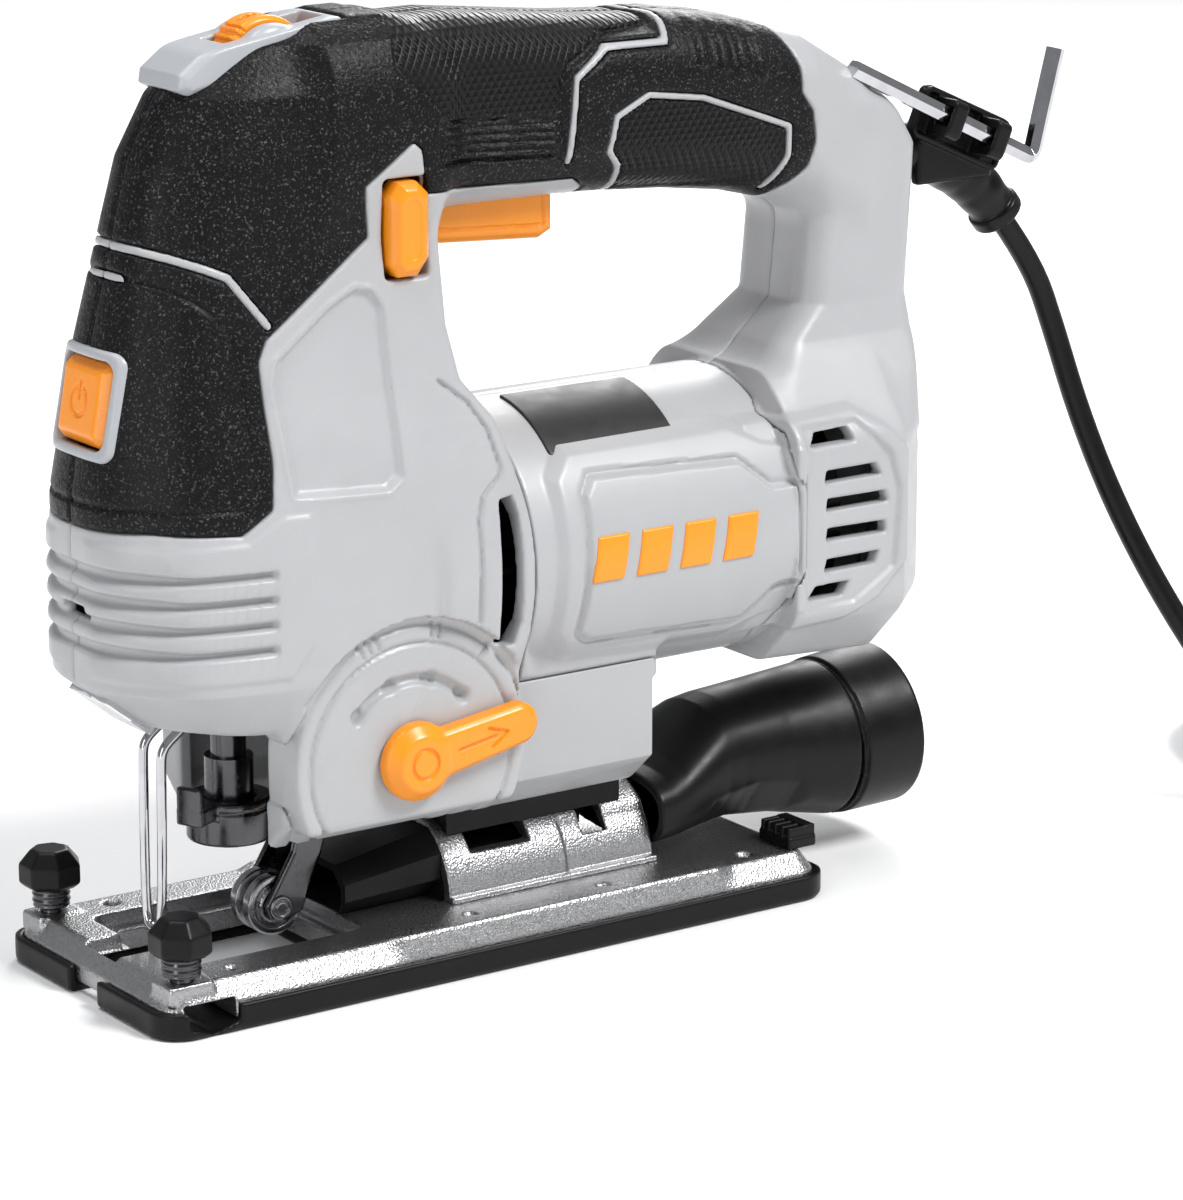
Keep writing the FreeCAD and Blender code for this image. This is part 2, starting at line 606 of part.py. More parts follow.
def dial_potentiometer():
    x0, z0 = DIAL_AXIS
    body = box(x0 - 6, x0 + 6, 4.7, 9.5, z0 - 13, z0 + 1.5)
    return join([body, rod("y", (x0, -4.3, z0), 2.0, 9.2)])


def control_board():
    board = box(34, 66, -13, 13, 185.6, 187.2)
    chips = [box(37, 42, -8, -3, 183, 185.6), box(56, 62, -9, 2, 182.4, 185.6),
             box(45, 51, 3, 10, 183.4, 185.6)]
    return join([board] + chips)


def capacitor():
    return rod("x", (141, 0, 187), 6.5, 22)


# ---- sole ---------------------------------------------------------------------------------------
def rounded_plate(x0, x1, half, z0, z1, corner):
    plate = box(x0, x1, -half, half, z0, z1)
    upright = [e for e in plate.Edges if abs(e.Vertexes[0].Z - e.Vertexes[1].Z) > 0.9 * (z1 - z0)]
    return plate.makeFillet(corner, upright)


BLADE_WELL = (16.0, 58.0, 17.5)     # x range and half-width of the opening round the blade
FRONT_SLOT = 6.0                    # half-width of its narrow front part
FENCE_SLOT = (6.0, 18.6, 2.7, 7.2)  # x and z ranges of the fence rail's way across the sole
BASE_HOLES = [22.5, 84.7, 121.3, 161.5]


def sole_cover():
    tray = rounded_plate(0, SOLE_LENGTH, SOLE_WIDTH / 2, 0, 6.2, 8.0)
    tray = tray.cut(rounded_plate(1.8, SOLE_LENGTH - 1.8, SOLE_WIDTH / 2 - 1.8, COVER_FLOOR, 7, 6.4))
    x0, x1, half = BLADE_WELL
    cuts = [box(x0, x1, -half, half, -1, 7), box(-1, x0 + 1, -FRONT_SLOT, FRONT_SLOT, -1, 7),
            box(FENCE_SLOT[0], FENCE_SLOT[1], -40, 40, FENCE_SLOT[2], 9), rod("z", (127, 0, -1), 5.0, 8)]
    return tray.cut(group(cuts))


def sole_plate():
    low = rounded_plate(2.0, SOLE_LENGTH - 2.0, SOLE_WIDTH / 2 - 2.0, COVER_FLOOR, 6.4, 6.2)
    slope = loft([octagon_z(6.4, 2.0, SOLE_LENGTH - 2.0, SOLE_WIDTH / 2 - 2.0, 4.0),
                  octagon_z(SOLE_TOP, 6.2, SOLE_LENGTH - 4.5, SOLE_WIDTH / 2 - 5.0, 3.0)])
    rails = [box(62, 150, y, y + 2.0, SOLE_TOP - 1, SOLE_TOP + 0.9) for y in (-31.0, 29.0)]
    bosses = [box(KNOB_X - 5.2, KNOB_X + 6, y - 4.2, y + 4.2, 7.3, 11.9) for y in (-KNOB_Y, KNOB_Y)]
    x0, x1, half = BLADE_WELL
    well = loft([octagon_z(COVER_FLOOR - 0.2, x0, x1, half, 1.0),
                 octagon_z(SOLE_TOP + 1, x0 - 2, x1, half + 2.5, 1.0)])
    hollow = box(64, 174, -30.5, 30.5, COVER_FLOOR - 1, SOLE_TOP - 2.8)
    hollow = hollow.cut(group([rod("z", (127, 0, 0), 8.0, 12)] + both_sides(box(64, 174, 14, 22, 0, 12))))
    cuts = [well, box(5.0, x0 + 1, -FRONT_SLOT, FRONT_SLOT, 0, 12), hollow,
            box(FENCE_SLOT[0], FENCE_SLOT[1], -40, 40, FENCE_SLOT[2], FENCE_SLOT[3]),
            box(FENCE_SLOT[0], FENCE_SLOT[1], -40, 40, 0, FENCE_SLOT[2] + 0.1),
            rod("z", (127, 0, 0), 5.0, 14)]
    for y in (-KNOB_Y, KNOB_Y):
        cuts.append(rod("z", (KNOB_X, y, 5), 2.5 + RUN, 8))
    for x in BASE_HOLES:
        cuts += [rod("z", (x, y, 0), 1.4, 14) for y in (-26.9, 26.9)]
    return join([low, slope] + rails + bosses).cut(group(cuts))


def bevel_bracket():
    x0, x1 = BRACKET_X
    arch = rod("x", (x0, 0, BEVEL_Z), BRACKET_R, x1 - x0, BRACKET_R - 3.0)
    slot = ring_sector((123.6, 0, BEVEL_Z), 6.8, BRACKET_R + 1, BRACKET_R - 4, 90, 61)
    cuts = [box(x0 - 1, x1 + 1, -30, 30, -20, SOLE_TOP), slot, box(92.5, 109, -20, -8, 21, 27.5)]
    return arch.cut(group(cuts))


def dust_channel():
    """Black chute that leads chips from the blade into the bracket."""
    outside = loft([octagon_x(59.5, SOLE_TOP, 23.0, 14.0, 4.0),
                    octagon_x(84.8, SOLE_TOP, 27.0, 14.2, 5.0)])
    inside = loft([octagon_x(59.0, SOLE_TOP - 1, 21.2, 12.2, 3.4),
                   octagon_x(85.5, SOLE_TOP - 1, 25.2, 12.4, 4.4)])
    below = box(84, 113, -20, 20, -10, SOLE_TOP)
    liner = rod("x", (84.8, 0, BEVEL_Z), 10.8, 27, 9.2).cut(below)
    ring = rod("x", (84.8, 0, BEVEL_Z), 14.9, 1.5, 9.2).cut(below)
    return join([outside.cut(inside), liner, ring])


def sole_latch():
    """Ribbed catch at the rear corner that holds the sole cover on the plate."""
    body = box(171.5, 179.5, -31.0, -19.0, SOLE_TOP + 0.05, 13.6)
    ribs = [box(171.5, 178.5, y, y + 1.2, 13.4, 16.2) for y in (-30.4, -27.3, -24.2, -21.1)]
    return join([body] + ribs)


def fence_knob(side):
    y = side * KNOB_Y
    flats = [(7.2 * math.cos(k * math.tau / 7), 7.2 * math.sin(k * math.tau / 7)) for k in range(7)]
    rings = []
    for z, scale in ((16.2, 0.72), (18.0, 1.0), (25.0, 1.0), (28.4, 0.62)):
        rings.append([(KNOB_X + scale * u, y + scale * v, z) for u, v in flats])
    return loft(rings)


def fence_screw(side):
    y = side * KNOB_Y
    return join([rod("z", (KNOB_X, y, 7.6), 2.5, 8.6), rod("z", (KNOB_X, y, 14.8), 4.4, 1.4)])


def bevel_clamp():
    """Socket-head bolt and the curved plate that it pulls against the inside of the bracket."""
    shank = rod("z", (127, 0, 20), 3.0, 22)
    head = rod("z", (127, 0, 18.6), 5.0, 4.0)
    turns = [k * math.tau / 6 for k in range(7)]
    wire = Part.makePolygon([Vec(127 + 2.3 * math.cos(t), 2.3 * math.sin(t), 18) for t in turns])
    bolt = join([shank, head]).cut(Part.Face(wire).extrude(Vec(0, 0, 3.2)))
    plate = ring_sector((114, 0, BEVEL_Z), 26, BRACKET_R - 3.3, 11.4, 90, 20)
    plate = plate.cut(rod("z", (127, 0, 15), 3.0, 20)).cut(rod("z", (127, 0, 15), 5.0, 7.6))
    return group([bolt, plate])


def bevel_saddle():
    block = box(88, 136, -12, 12, 22, UNDERSIDE_Z)
    arch = rod("x", (80, 0, BEVEL_Z), BRACKET_R + 0.25, 70)
    return block.cut(group([arch, rod("z", (127, 0, 20), 3.0, 20)]))


# ---- dust tube ------------------------------------------------------------------------------------
PORT_TILT = 3.5            # degrees that the round end leans up
PORT = (203.0, 26.4)       # x and z where the tube meets its adapter
PORT_LENGTH = 18.0
PORT_BORE = 17.5


def oval(x, z, half_y, half_z, lean=0.0, power=2.0):
    """A closed ring of points round the tube, flattened where power is above 2."""
    points = []
    for k in range(28):
        turn = math.tau * (k + 0.5) / 28
        c, s = math.cos(turn), math.sin(turn)
        y = half_y * math.copysign(abs(c) ** (2 / power), c)
        up = half_z * math.copysign(abs(s) ** (2 / power), s)
        points.append((x - up * math.sin(math.radians(lean)), y, z + up))
    return points


def dust_tube():
    """From a low wide mouth behind the bevel bracket to a round end."""
    stations = [(142.4, 21.4, 20.5, 8.6, 0, 3.0), (150.0, 22.6, 19.5, 9.6, 0, 2.6),
                (166.0, 27.0, 16.5, 14.2, 1, 2.2), (182.0, 28.4, 16.4, 15.7, 2, 2.0),
                (202.8, 26.4, 19.0, 19.0, PORT_TILT, 2.0)]

    def skin(wall):
        return loft([oval(x, z, half_y - wall, half_z - wall, lean, power)
                     for x, z, half_y, half_z, lean, power in stations])
    return skin(0.0).cut(skin(2.0))


def dust_adapter():
    """Round end that a vacuum hose plugs into."""
    lean = math.radians(PORT_TILT)
    along = Vec(math.cos(lean), 0, math.sin(lean))
    start = Vec(PORT[0] + 0.2, 0, PORT[1])
    outside = Part.makeCone(19.4, 20.0, PORT_LENGTH, start, along)
    return outside.cut(Part.makeCylinder(PORT_BORE, PORT_LENGTH + 2, start - along, along))


# ---- cord and what is on it -------------------------------------------------------------------------
RELIEF = [(214.0, 0, 168.6), (229.0, 0, 167.8), (241.0, 0, 163.4), (250.5, 0, 156.5), (257.0, 0, 149.0)]
FLOOR = CORD_R + 0.1       # height of the cord's middle where it lies
ROUTE = [(257.0, 0, 149.0), (268.0, 0, 136.3), (274.0, -2, 119.0), (278.5, -6, 100.0),
         (284.0, -12, 80.0), (291.0, -20, 59.5), (299.5, -29.5, 39.5), (309.5, -38.5, 20.5),
         (319.5, -46.0, FLOOR + 4.5), (331.0, -54.6, FLOOR), (347.2, -67.2, FLOOR), (368.0, -66.6, FLOOR)]
COIL_CENTRE = (366.0, -19.3)
COIL_MID_R = 33.0
COIL_BAND = 23.2
COIL_HEIGHT = 11.2
PLUG_SHIFT = -30.0         # the plug lies on the turns, off the coil's middle


def bent_tube(points, radius):
    """Straight runs joined by tangent arcs, each arc as large as its two runs allow."""
    corners = [Vec(*p) for p in points]
    edges, radii, last = [], [], corners[0]
    for before, at, after in zip(corners, corners[1:], corners[2:]):
        u, v = (at - before), (after - at)
        turn = u.getAngle(v)
        shorter = min(u.Length, v.Length)
        bend = 0.45 * shorter / math.tan(turn / 2)
        radii.append(round(bend, 1))
        back = 0.45 * shorter
        u.normalize()
        v.normalize()
        start, end = at - u * back, at + v * back
        inward = (v - u).normalize()
        middle = at + inward * (bend / math.cos(turn / 2) - bend)
        edges.append(Part.LineSegment(last, start).toShape())
        edges.append(Part.Arc(start, middle, end).toShape())
        last = end
    edges.append(Part.LineSegment(last, corners[-1]).toShape())
    spine = Part.Wire(edges)
    first = corners[1] - corners[0]
    profile = Part.Wire([Part.makeCircle(radius, corners[0], first)])
    tube = spine.makePipeShell([profile], True, False)
    print("bend radii", radii, "length", round(spine.Length, 1),
          "volume / (section x length)", round(tube.Volume / (math.pi * radius ** 2 * spine.Length), 4))
    return tube


def strain_relief():
    radii = (6.4, 6.6, 6.2, 5.9, 5.6)
    pieces = []
    for k in range(len(RELIEF) - 1):
        a, b = Vec(*RELIEF[k]), Vec(*RELIEF[k + 1])
        step = b - a
        pieces.append(Part.makeCone(radii[k], radii[k + 1], step.Length, a, step))
        if k:
            pieces.append(Part.makeSphere(radii[k], a))
    end = Vec(*RELIEF[-1])
    step = (end - Vec(*RELIEF[-2])).normalize()
    pieces.append(Part.makeCylinder(6.6, 3.6, end - step * 3.6, step))
    boot = join(pieces)
    boot = boot.common(box(221.0, 300, -20, 20, 100, 200))
    return boot.fuse(rod("x", (214, 0, 168.6), 5.5, 7.5)).removeSplitter()


CLIP_A, CLIP_B = (226.0, 177.0), (250.0, 166.4)     # x and z of the ends of the key clip's back
KEY_Y = -12.0


def key_clip():
    """Flat back on the boot with two hooks that hold the hex key."""
    (xa, za), (xb, zb) = CLIP_A, CLIP_B
    length = math.hypot(xb - xa, zb - za)
    ux, uz = (xb - xa) / length, (zb - za) / length
    back = side_plate([(xa + 2, za - 4), (xb - 1, zb - 5), (xb + 2 - uz * 7, zb + ux * 7),
                       (xa - uz * 7, za + ux * 7)], -7.2, -5.4)
    hooks = []
    for t in (4.0, length - 8.0):
        cx, cz = xa + ux * t, za + uz * t
        outline = [(cx - uz * d + ux * w, cz + ux * d + uz * w)
                   for d, w in ((-2.5, 0), (5.5, 0), (5.5, 4), (-2.5, 4))]
        hooks.append(side_plate(outline, -15.0, -6.0))
    strap = box(226, 249, -7.0, -4.0, 158.0, 170.0)
    hub = join([back, strap] + hooks)
    return hub.cut(group([strain_relief(), hex_key_solid(2.35, False)]))


def hex_bar(a, b, across):
    step = Vec(*b) - Vec(*a)
    radius = across / math.sqrt(3)
    turns = [k * math.tau / 6 for k in range(7)]
    ring = [Vec(radius * math.cos(t), radius * math.sin(t), 0) for t in turns]
    bar = Part.Face(Part.makePolygon(ring)).extrude(Vec(0, 0, step.Length))
    bar.Placement = FreeCAD.Placement(Vec(*a), FreeCAD.Rotation(Vec(0, 0, 1), step))
    return bar


KEY = [(202.0, KEY_Y, 190.6), (256.0, KEY_Y, 165.0), (263.6, KEY_Y, 190.4)]


def hex_key_solid(half, whole=True):
    bars = [hex_bar(KEY[0], KEY[1], 2 * half)]
    if whole:
        bars += [hex_bar(KEY[1], KEY[2], 2 * half), Part.makeSphere(half * 1.08, Vec(*KEY[1]))]
    return join(bars)


def cord_coil():
    x0, y0 = COIL_CENTRE
    outer, inner = COIL_MID_R + COIL_BAND / 2, COIL_MID_R - COIL_BAND / 2
    return rod("z", (x0, y0, 0.1), outer, COIL_HEIGHT, inner)


def plug():
    x0, y0 = COIL_CENTRE
    outline = [(-14, 5.5), (-2, 9), (12, 17.5), (20, 17.5), (20, -17.5), (12, -17.5), (-2, -9), (-14, -5.5)]
    z0 = COIL_HEIGHT + 0.2
    points = [Vec(x0 + x, y0 + PLUG_SHIFT + y, z0) for x, y in outline]
    return Part.Face(Part.makePolygon(points + points[:1])).extrude(Vec(0, 0, 14))


def plug_pins():
    x0, y0 = COIL_CENTRE
    return group([rod("x", (x0 + 20, y0 + PLUG_SHIFT + y, COIL_HEIGHT + 7.2), 2.4, 19)
                  for y in (-9.5, 9.5)])


# ---- writing the pieces -------------------------------------------------------------------------------
def all_pieces():
    pieces = housing_parts()
    makers = [motor_barrel, light_button, light_board, rating_label, side_badge, guard_wire,
              armature_shaft, drive_gear, pivot_pins, gearbox_frame, plunger_bushes, fan, armature_core,
              armature_windings, commutator, ball_bearings, stator_core, field_coils, brush_holders,
              carbon_brushes, rear_bracket, plunger_rod, blade_clamp, clamp_lever, roller_arm,
              roller_axle, guide_roller, orbit_selector, trigger, lock_button, switch_module,
              speed_dial, dial_potentiometer, control_board, capacitor, sole_cover, sole_plate,
              bevel_bracket, dust_channel, sole_latch, bevel_clamp, bevel_saddle, dust_tube,
              dust_adapter, strain_relief, key_clip, cord_coil, plug, plug_pins]
    for maker in makers:
        pieces[maker.__name__] = maker()
    pieces["led_lens"] = lens_block(0.0)
    pieces["hex_key"] = hex_key_solid(2.0)
    pieces["cord_tube"] = bent_tube(ROUTE, CORD_R)
    for name, side in (("left", -1), ("right", 1)):
        pieces["fence_knob_" + name] = group([fence_knob(side), fence_screw(side)])
    return pieces


def export(pieces):
    os.makedirs("parts", exist_ok=True)
    for name, shape in pieces.items():
        shape = shape.copy()
        shape.translate(Vec(-TOOL_MID, 0, 0))
        shape.exportStep("parts/" + name + ".step")
        b = shape.BoundBox
        print("%-20s %2d solids, valid %s, volume %9.1f, x %.1f..%.1f y %.1f..%.1f z %.1f..%.1f" % (
            name, len(shape.Solids), shape.isValid(), shape.Volume, b.XMin, b.XMax, b.YMin, b.YMax,
            b.ZMin, b.ZMax))


export(all_pieces())
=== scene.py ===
import bpy
import json
import numpy as np
from functools import reduce
from math import cos, radians, sin, sqrt, tau
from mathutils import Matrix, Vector
from numpy import clip, hypot, maximum, minimum


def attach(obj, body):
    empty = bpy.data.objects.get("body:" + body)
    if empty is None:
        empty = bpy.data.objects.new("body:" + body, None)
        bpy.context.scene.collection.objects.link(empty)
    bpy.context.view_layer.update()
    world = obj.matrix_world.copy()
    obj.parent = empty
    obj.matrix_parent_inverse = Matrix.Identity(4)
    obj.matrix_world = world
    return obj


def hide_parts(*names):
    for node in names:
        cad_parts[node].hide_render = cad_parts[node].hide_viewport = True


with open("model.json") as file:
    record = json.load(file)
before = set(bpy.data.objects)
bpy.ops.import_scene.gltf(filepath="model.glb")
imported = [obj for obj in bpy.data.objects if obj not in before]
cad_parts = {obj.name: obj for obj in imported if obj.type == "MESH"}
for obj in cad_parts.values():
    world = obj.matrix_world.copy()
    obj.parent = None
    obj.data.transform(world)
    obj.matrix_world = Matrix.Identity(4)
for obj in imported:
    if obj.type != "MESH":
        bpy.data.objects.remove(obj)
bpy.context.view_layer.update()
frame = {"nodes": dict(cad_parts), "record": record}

# Shapes are written in millimetres, x from the sole's front edge; TOOL_MID moves them to the frame.
TOOL_MID = 111.2
f32 = np.float32


def place(points):
    """From the shapes' millimetres to the frame's metres."""
    return (np.asarray(points, float) - (TOOL_MID, 0, 0)) / 1000


# ---- camera, light and floor --------------------------------------------------------------
def aim(obj, at):
    direction = Vector(at) - obj.location
    obj.rotation_mode = "QUATERNION"
    obj.rotation_quaternion = direction.to_track_quat("-Z", "Y")


def link(name, data):
    obj = bpy.data.objects.new(name, data)
    bpy.context.collection.objects.link(obj)
    return obj


def make_camera():
    azimuth, elevation, distance = radians(-35), radians(14.738), 1.0793
    target = Vector(place((136.6, 0, 70.58)))
    camera = link("camera", bpy.data.cameras.new("camera"))
    camera.location = target + distance * Vector((
        sin(azimuth) * cos(elevation), -cos(azimuth) * cos(elevation), sin(elevation)))
    camera.data.sensor_width = 36
    camera.data.lens = 4643.5 / 1200 * 36
    camera.data.clip_end = 20
    aim(camera, target)
    bpy.context.scene.camera = camera


def area_light(name, location, at, size, power):
    lamp = bpy.data.lights.new(name, "AREA")
    lamp.shape = "RECTANGLE"
    lamp.size, lamp.size_y = size
    lamp.energy = power
    obj = link(name, lamp)
    obj.location = location
    aim(obj, at)


def make_stage():
    bpy.ops.mesh.primitive_plane_add(size=12, location=(0, 0, 0))
    floor = bpy.context.object
    floor.name = "floor"
    paint = bpy.data.materials.new("floor")
    paint.use_nodes = True
    sockets = paint.node_tree.nodes["Principled BSDF"].inputs
    sockets["Base Color"].default_value = (0.93, 0.93, 0.93, 1)
    sockets["Roughness"].default_value = 0.7
    floor.data.materials.append(paint)
    world = bpy.data.worlds.new("studio")
    world.use_nodes = True
    sockets = world.node_tree.nodes["Background"].inputs
    sockets["Color"].default_value = (0.95, 0.97, 1, 1)
    sockets["Strength"].default_value = 0.33
    bpy.context.scene.world = world
    middle = (0, 0, 0.1)
    sun = link("sun", bpy.data.lights.new("sun", "SUN"))
    sun.data.energy, sun.data.angle = 3, 0.35
    sun.location = (0.5, -0.8, 1.1)
    aim(sun, (0, 0, 0))
    area_light("front", (-1.25, -0.55, 0.4), middle, (0.3, 0.8), 3.6)
    area_light("rim", (0.8, 0.9, 0.8), middle, (0.4, 0.9), 8)
    area_light("top", (-0.3, 0.1, 1.2), middle, (0.8, 0.3), 5)
    bpy.context.scene.view_settings.view_transform = "Standard"


make_camera()
make_stage()


# ---- cord ---------------------------------------------------------------------------------
CORD_R = 2.9
FLOOR = CORD_R + 0.1
ROUTE = [(257, 0, 149), (268, 0, 136.3), (274, -2, 119), (278.5, -6, 100), (284, -12, 80), (291, -20, 59.5),
         (299.5, -29.5, 39.5), (309.5, -38.5, 20.5), (319.5, -46, FLOOR + 4.5), (331, -54.6, FLOOR),
         (347.2, -67.2, FLOOR), (368, -66.6, FLOOR)]
COIL_CENTRE = (366, -19.3)
COIL_TURNS = [(47.4, 0), (41.7, 0), (35.9, 0), (30.1, 0), (24.3, 0), (27.4, 1), (33, 1),
              (38.8, 1)]                # radius and layer where the cord arrives and of each turn
COIL_START, COIL_STEPS = -88, 14        # degrees, and control points in a turn
LAYER = 5.1                             # from one layer's axis to the next
PULL = 0.975                            # the curve's radius over its control points' radius
COIL_END = [(-30.3, 25.5, 8.4), (-37.1, 13.5, 9.8), (-39.6, 1.1, 12.3), (-38.1, -9.9, 14.8),
            (-33.7, -19.5, 16.9), (-25.1, -27.1, 18.1), (-14, -30, 18.4), (-9, -30, 18.4),
            (-6, -30, 18.4)]            # measured from the coil's centre, rising to the plug
PLUG_AT = (COIL_CENTRE[0], COIL_CENTRE[1] - 30, 18.4)


def coil_points():
    """Four turns side by side wound inwards, three on top wound outwards, then up to the plug."""
    points = []
    x0, y0 = COIL_CENTRE
    for k in range(1, 8 * COIL_STEPS - 5):
        turn = k / COIL_STEPS
        i = max(1, min(int(turn + 0.75), 7))
        (r0, layer0), (r1, layer1) = COIL_TURNS[i - 1], COIL_TURNS[i]
        s = max(0, min(1, (turn + 0.75 - i) / 0.8)) if i > 1 else min(1, turn / 0.18)
        s = s * s * (3 - 2 * s)
        angle, r = radians(COIL_START + 360 * turn), (r0 + (r1 - r0) * s) / PULL
        z = FLOOR + (layer0 + (layer1 - layer0) * s) * LAYER
        points.append((x0 + r * cos(angle), y0 + r * sin(angle), z))
    return points + [(x0 + dx, y0 + dy, z) for dx, dy, z in COIL_END]


def curve_object(name, points, radius, resolution, rounds, material_name):
    """A round or many-sided bar along a smooth line that the points steer."""
    data = bpy.data.curves.new(name, "CURVE")
    data.dimensions = "3D"
    data.resolution_u = resolution
    data.bevel_depth = radius / 1000
    data.bevel_resolution = rounds
    data.use_fill_caps = True
    spline = data.splines.new("NURBS")
    spline.points.add(len(points) - 1)
    for spot, p in zip(spline.points, place(points)):
        spot.co = (*p, 1)
    spline.order_u = 3
    spline.use_endpoint_u = True
    spline.use_smooth = rounds > 1
    data.materials.append(MATERIALS[material_name])
    return link(name, data)


# ---- materials ----------------------------------------------------------------------------
MATERIALS = {}
SHARED = {"barrel_grey": "housing_grey", "bezel_grey": "trim_grey", "fan_plastic": "black_plastic",
          "switch_black": "black_plastic"}        # slots that have another slot's material


def shader(material):
    return material.node_tree.nodes["Principled BSDF"].inputs


def paint(name, colour, roughness, **sockets):
    """A Principled material of plain values, which the functions below add nodes to."""
    material = bpy.data.materials.new(name)
    material.use_nodes = True
    inputs = shader(material)
    inputs["Base Color"].default_value = (*colour, 1)
    inputs["Roughness"].default_value = roughness
    for socket, value in sockets.items():
        inputs[socket.replace("_", " ")].default_value = value
    MATERIALS[name] = material
    return material


def node(tree, kind, settings, **links):
    """A new node with its properties or sockets set, and its sockets linked to sources."""
    made = tree.nodes.new(kind)
    for key, value in settings.items():
        if hasattr(made, key):
            setattr(made, key, value)
        else:
            made.inputs[key].default_value = value
    for socket, source in links.items():
        tree.links.new(source, made.inputs[socket])
    return made


def noise(tree, scale, detail=3, rough=0.5, kind="ShaderNodeTexNoise"):
    where = tree.nodes.get("Texture Coordinate") or tree.nodes.new("ShaderNodeTexCoord")
    settings = {"Scale": scale}
    if kind == "ShaderNodeTexNoise":
        settings.update({"Detail": detail, "Roughness": rough})
    return node(tree, kind, settings, Vector=where.outputs["Object"])


def vary_colour(material, colour_a, colour_b, scale):
    tree = material.node_tree
    source = noise(tree, scale, 4)
    ramp = tree.nodes.new("ShaderNodeValToRGB")
    for stop, position, colour in zip(ramp.color_ramp.elements, (0.35, 0.65), (colour_a, colour_b)):
        stop.position = position
        stop.color = (*colour, 1)
    tree.links.new(source.outputs["Fac"], ramp.inputs["Fac"])
    tree.links.new(ramp.outputs["Color"], shader(material)["Base Color"])


def remap(tree, source, from_low, from_high, low, high):
    settings = {"From Min": from_low, "From Max": from_high, "To Min": low, "To Max": high}
    return node(tree, "ShaderNodeMapRange", settings, Value=source.outputs["Fac"]).outputs["Result"]


def vary_roughness(material, low, high, scale):
    tree = material.node_tree
    tree.links.new(remap(tree, noise(tree, scale), 0.3, 0.7, low, high), shader(material)["Roughness"])


def bump(material, height, strength, distance):
    """Adds one layer of relief; layers chain through the earlier one's normal."""
    tree, normal = material.node_tree, shader(material)["Normal"]
    layer = node(tree, "ShaderNodeBump", {"Strength": strength, "Distance": distance}, Height=height)
    if normal.links:
        tree.links.new(normal.links[0].from_socket, layer.inputs["Normal"])
    tree.links.new(layer.outputs["Normal"], normal)


def moulded(name, colour, roughness, grain=0.25, shift=0.02, coarse=900, **sockets):
    """Moulded plastic: fine spark-eroded grain, slight mottling and uneven gloss."""
    material = paint(name, colour, roughness, **sockets)
    darker = tuple(c * (1 - 2 * shift) for c in colour)
    lighter = tuple(min(1, c * (1 + shift)) for c in colour)
    vary_colour(material, darker, lighter, 60)
    vary_roughness(material, roughness - 0.05, roughness + 0.06, 180)
    bump(material, noise(material.node_tree, coarse, 2).outputs["Fac"], grain, 0.00006)


def metal(name, colour, roughness, scale, grain, coarse=400, spread=0.08):
    """Metal with uneven tone and gloss and a fine relief."""
    material = paint(name, colour, roughness, Metallic=1)
    vary_colour(material, tuple(c * 0.86 for c in colour), colour, scale)
    vary_roughness(material, max(0.04, roughness - spread), roughness + spread, scale * 2)
    bump(material, noise(material.node_tree, coarse, 4).outputs["Fac"], grain, 0.00005)
    return material


def rubber_with_painted_glints(name, colour):
    """Soft cover: coarse grain, with light specks painted into the colour as glints of highlight on the
    grain.
    """
    rubber = paint(name, colour, 0.42, Specular_IOR_Level=0.16)
    tree = rubber.node_tree
    # Painted highlight: light grey specks mixed into the base colour stand for glints off the rough grain.
    painted_glints = remap(tree, noise(tree, 1700, 2.5, 0.62), 0.57, 0.74, 0, 1)
    mix = node(tree, "ShaderNodeMix", {"data_type": "RGBA"})
    ends = [socket for socket in mix.inputs if socket.type == "RGBA"]
    ends[0].default_value = (*colour, 1)
    ends[1].default_value = (0.11, 0.11, 0.114, 1)
    tree.links.new(painted_glints, mix.inputs[0])
    result = [socket for socket in mix.outputs if socket.type == "RGBA"][0]
    tree.links.new(result, shader(rubber)["Base Color"])
    vary_roughness(rubber, 0.34, 0.5, 500)
    bump(rubber, noise(tree, 950, 2.5, 0.6).outputs["Fac"], 0.8, 0.0003)


def knurled_rubber(name, colour):
    """Diamond pattern of the grip, from two crossing sets of waves."""
    knurl = paint(name, colour, 0.36, Specular_IOR_Level=0.2)
    tree = knurl.node_tree
    where = tree.nodes.new("ShaderNodeTexCoord")
    both = node(tree, "ShaderNodeMath", {"operation": "MINIMUM"})
    for k, angle in enumerate((0.62, -0.62)):
        turned_to = node(tree, "ShaderNodeMapping", {"Rotation": (0, angle, 0)},
                         Vector=where.outputs["Object"])
        wave = node(tree, "ShaderNodeTexWave", {"Scale": 185, "bands_direction": "X", "Distortion": 0},
                    Vector=turned_to.outputs["Vector"])
        tree.links.new(wave.outputs["Fac"], both.inputs[k])
    bump(knurl, both.outputs["Value"], 0.9, 0.00045)
    bump(knurl, noise(tree, 1300, 2).outputs["Fac"], 0.25, 0.0001)
    vary_roughness(knurl, 0.3, 0.42, 300)


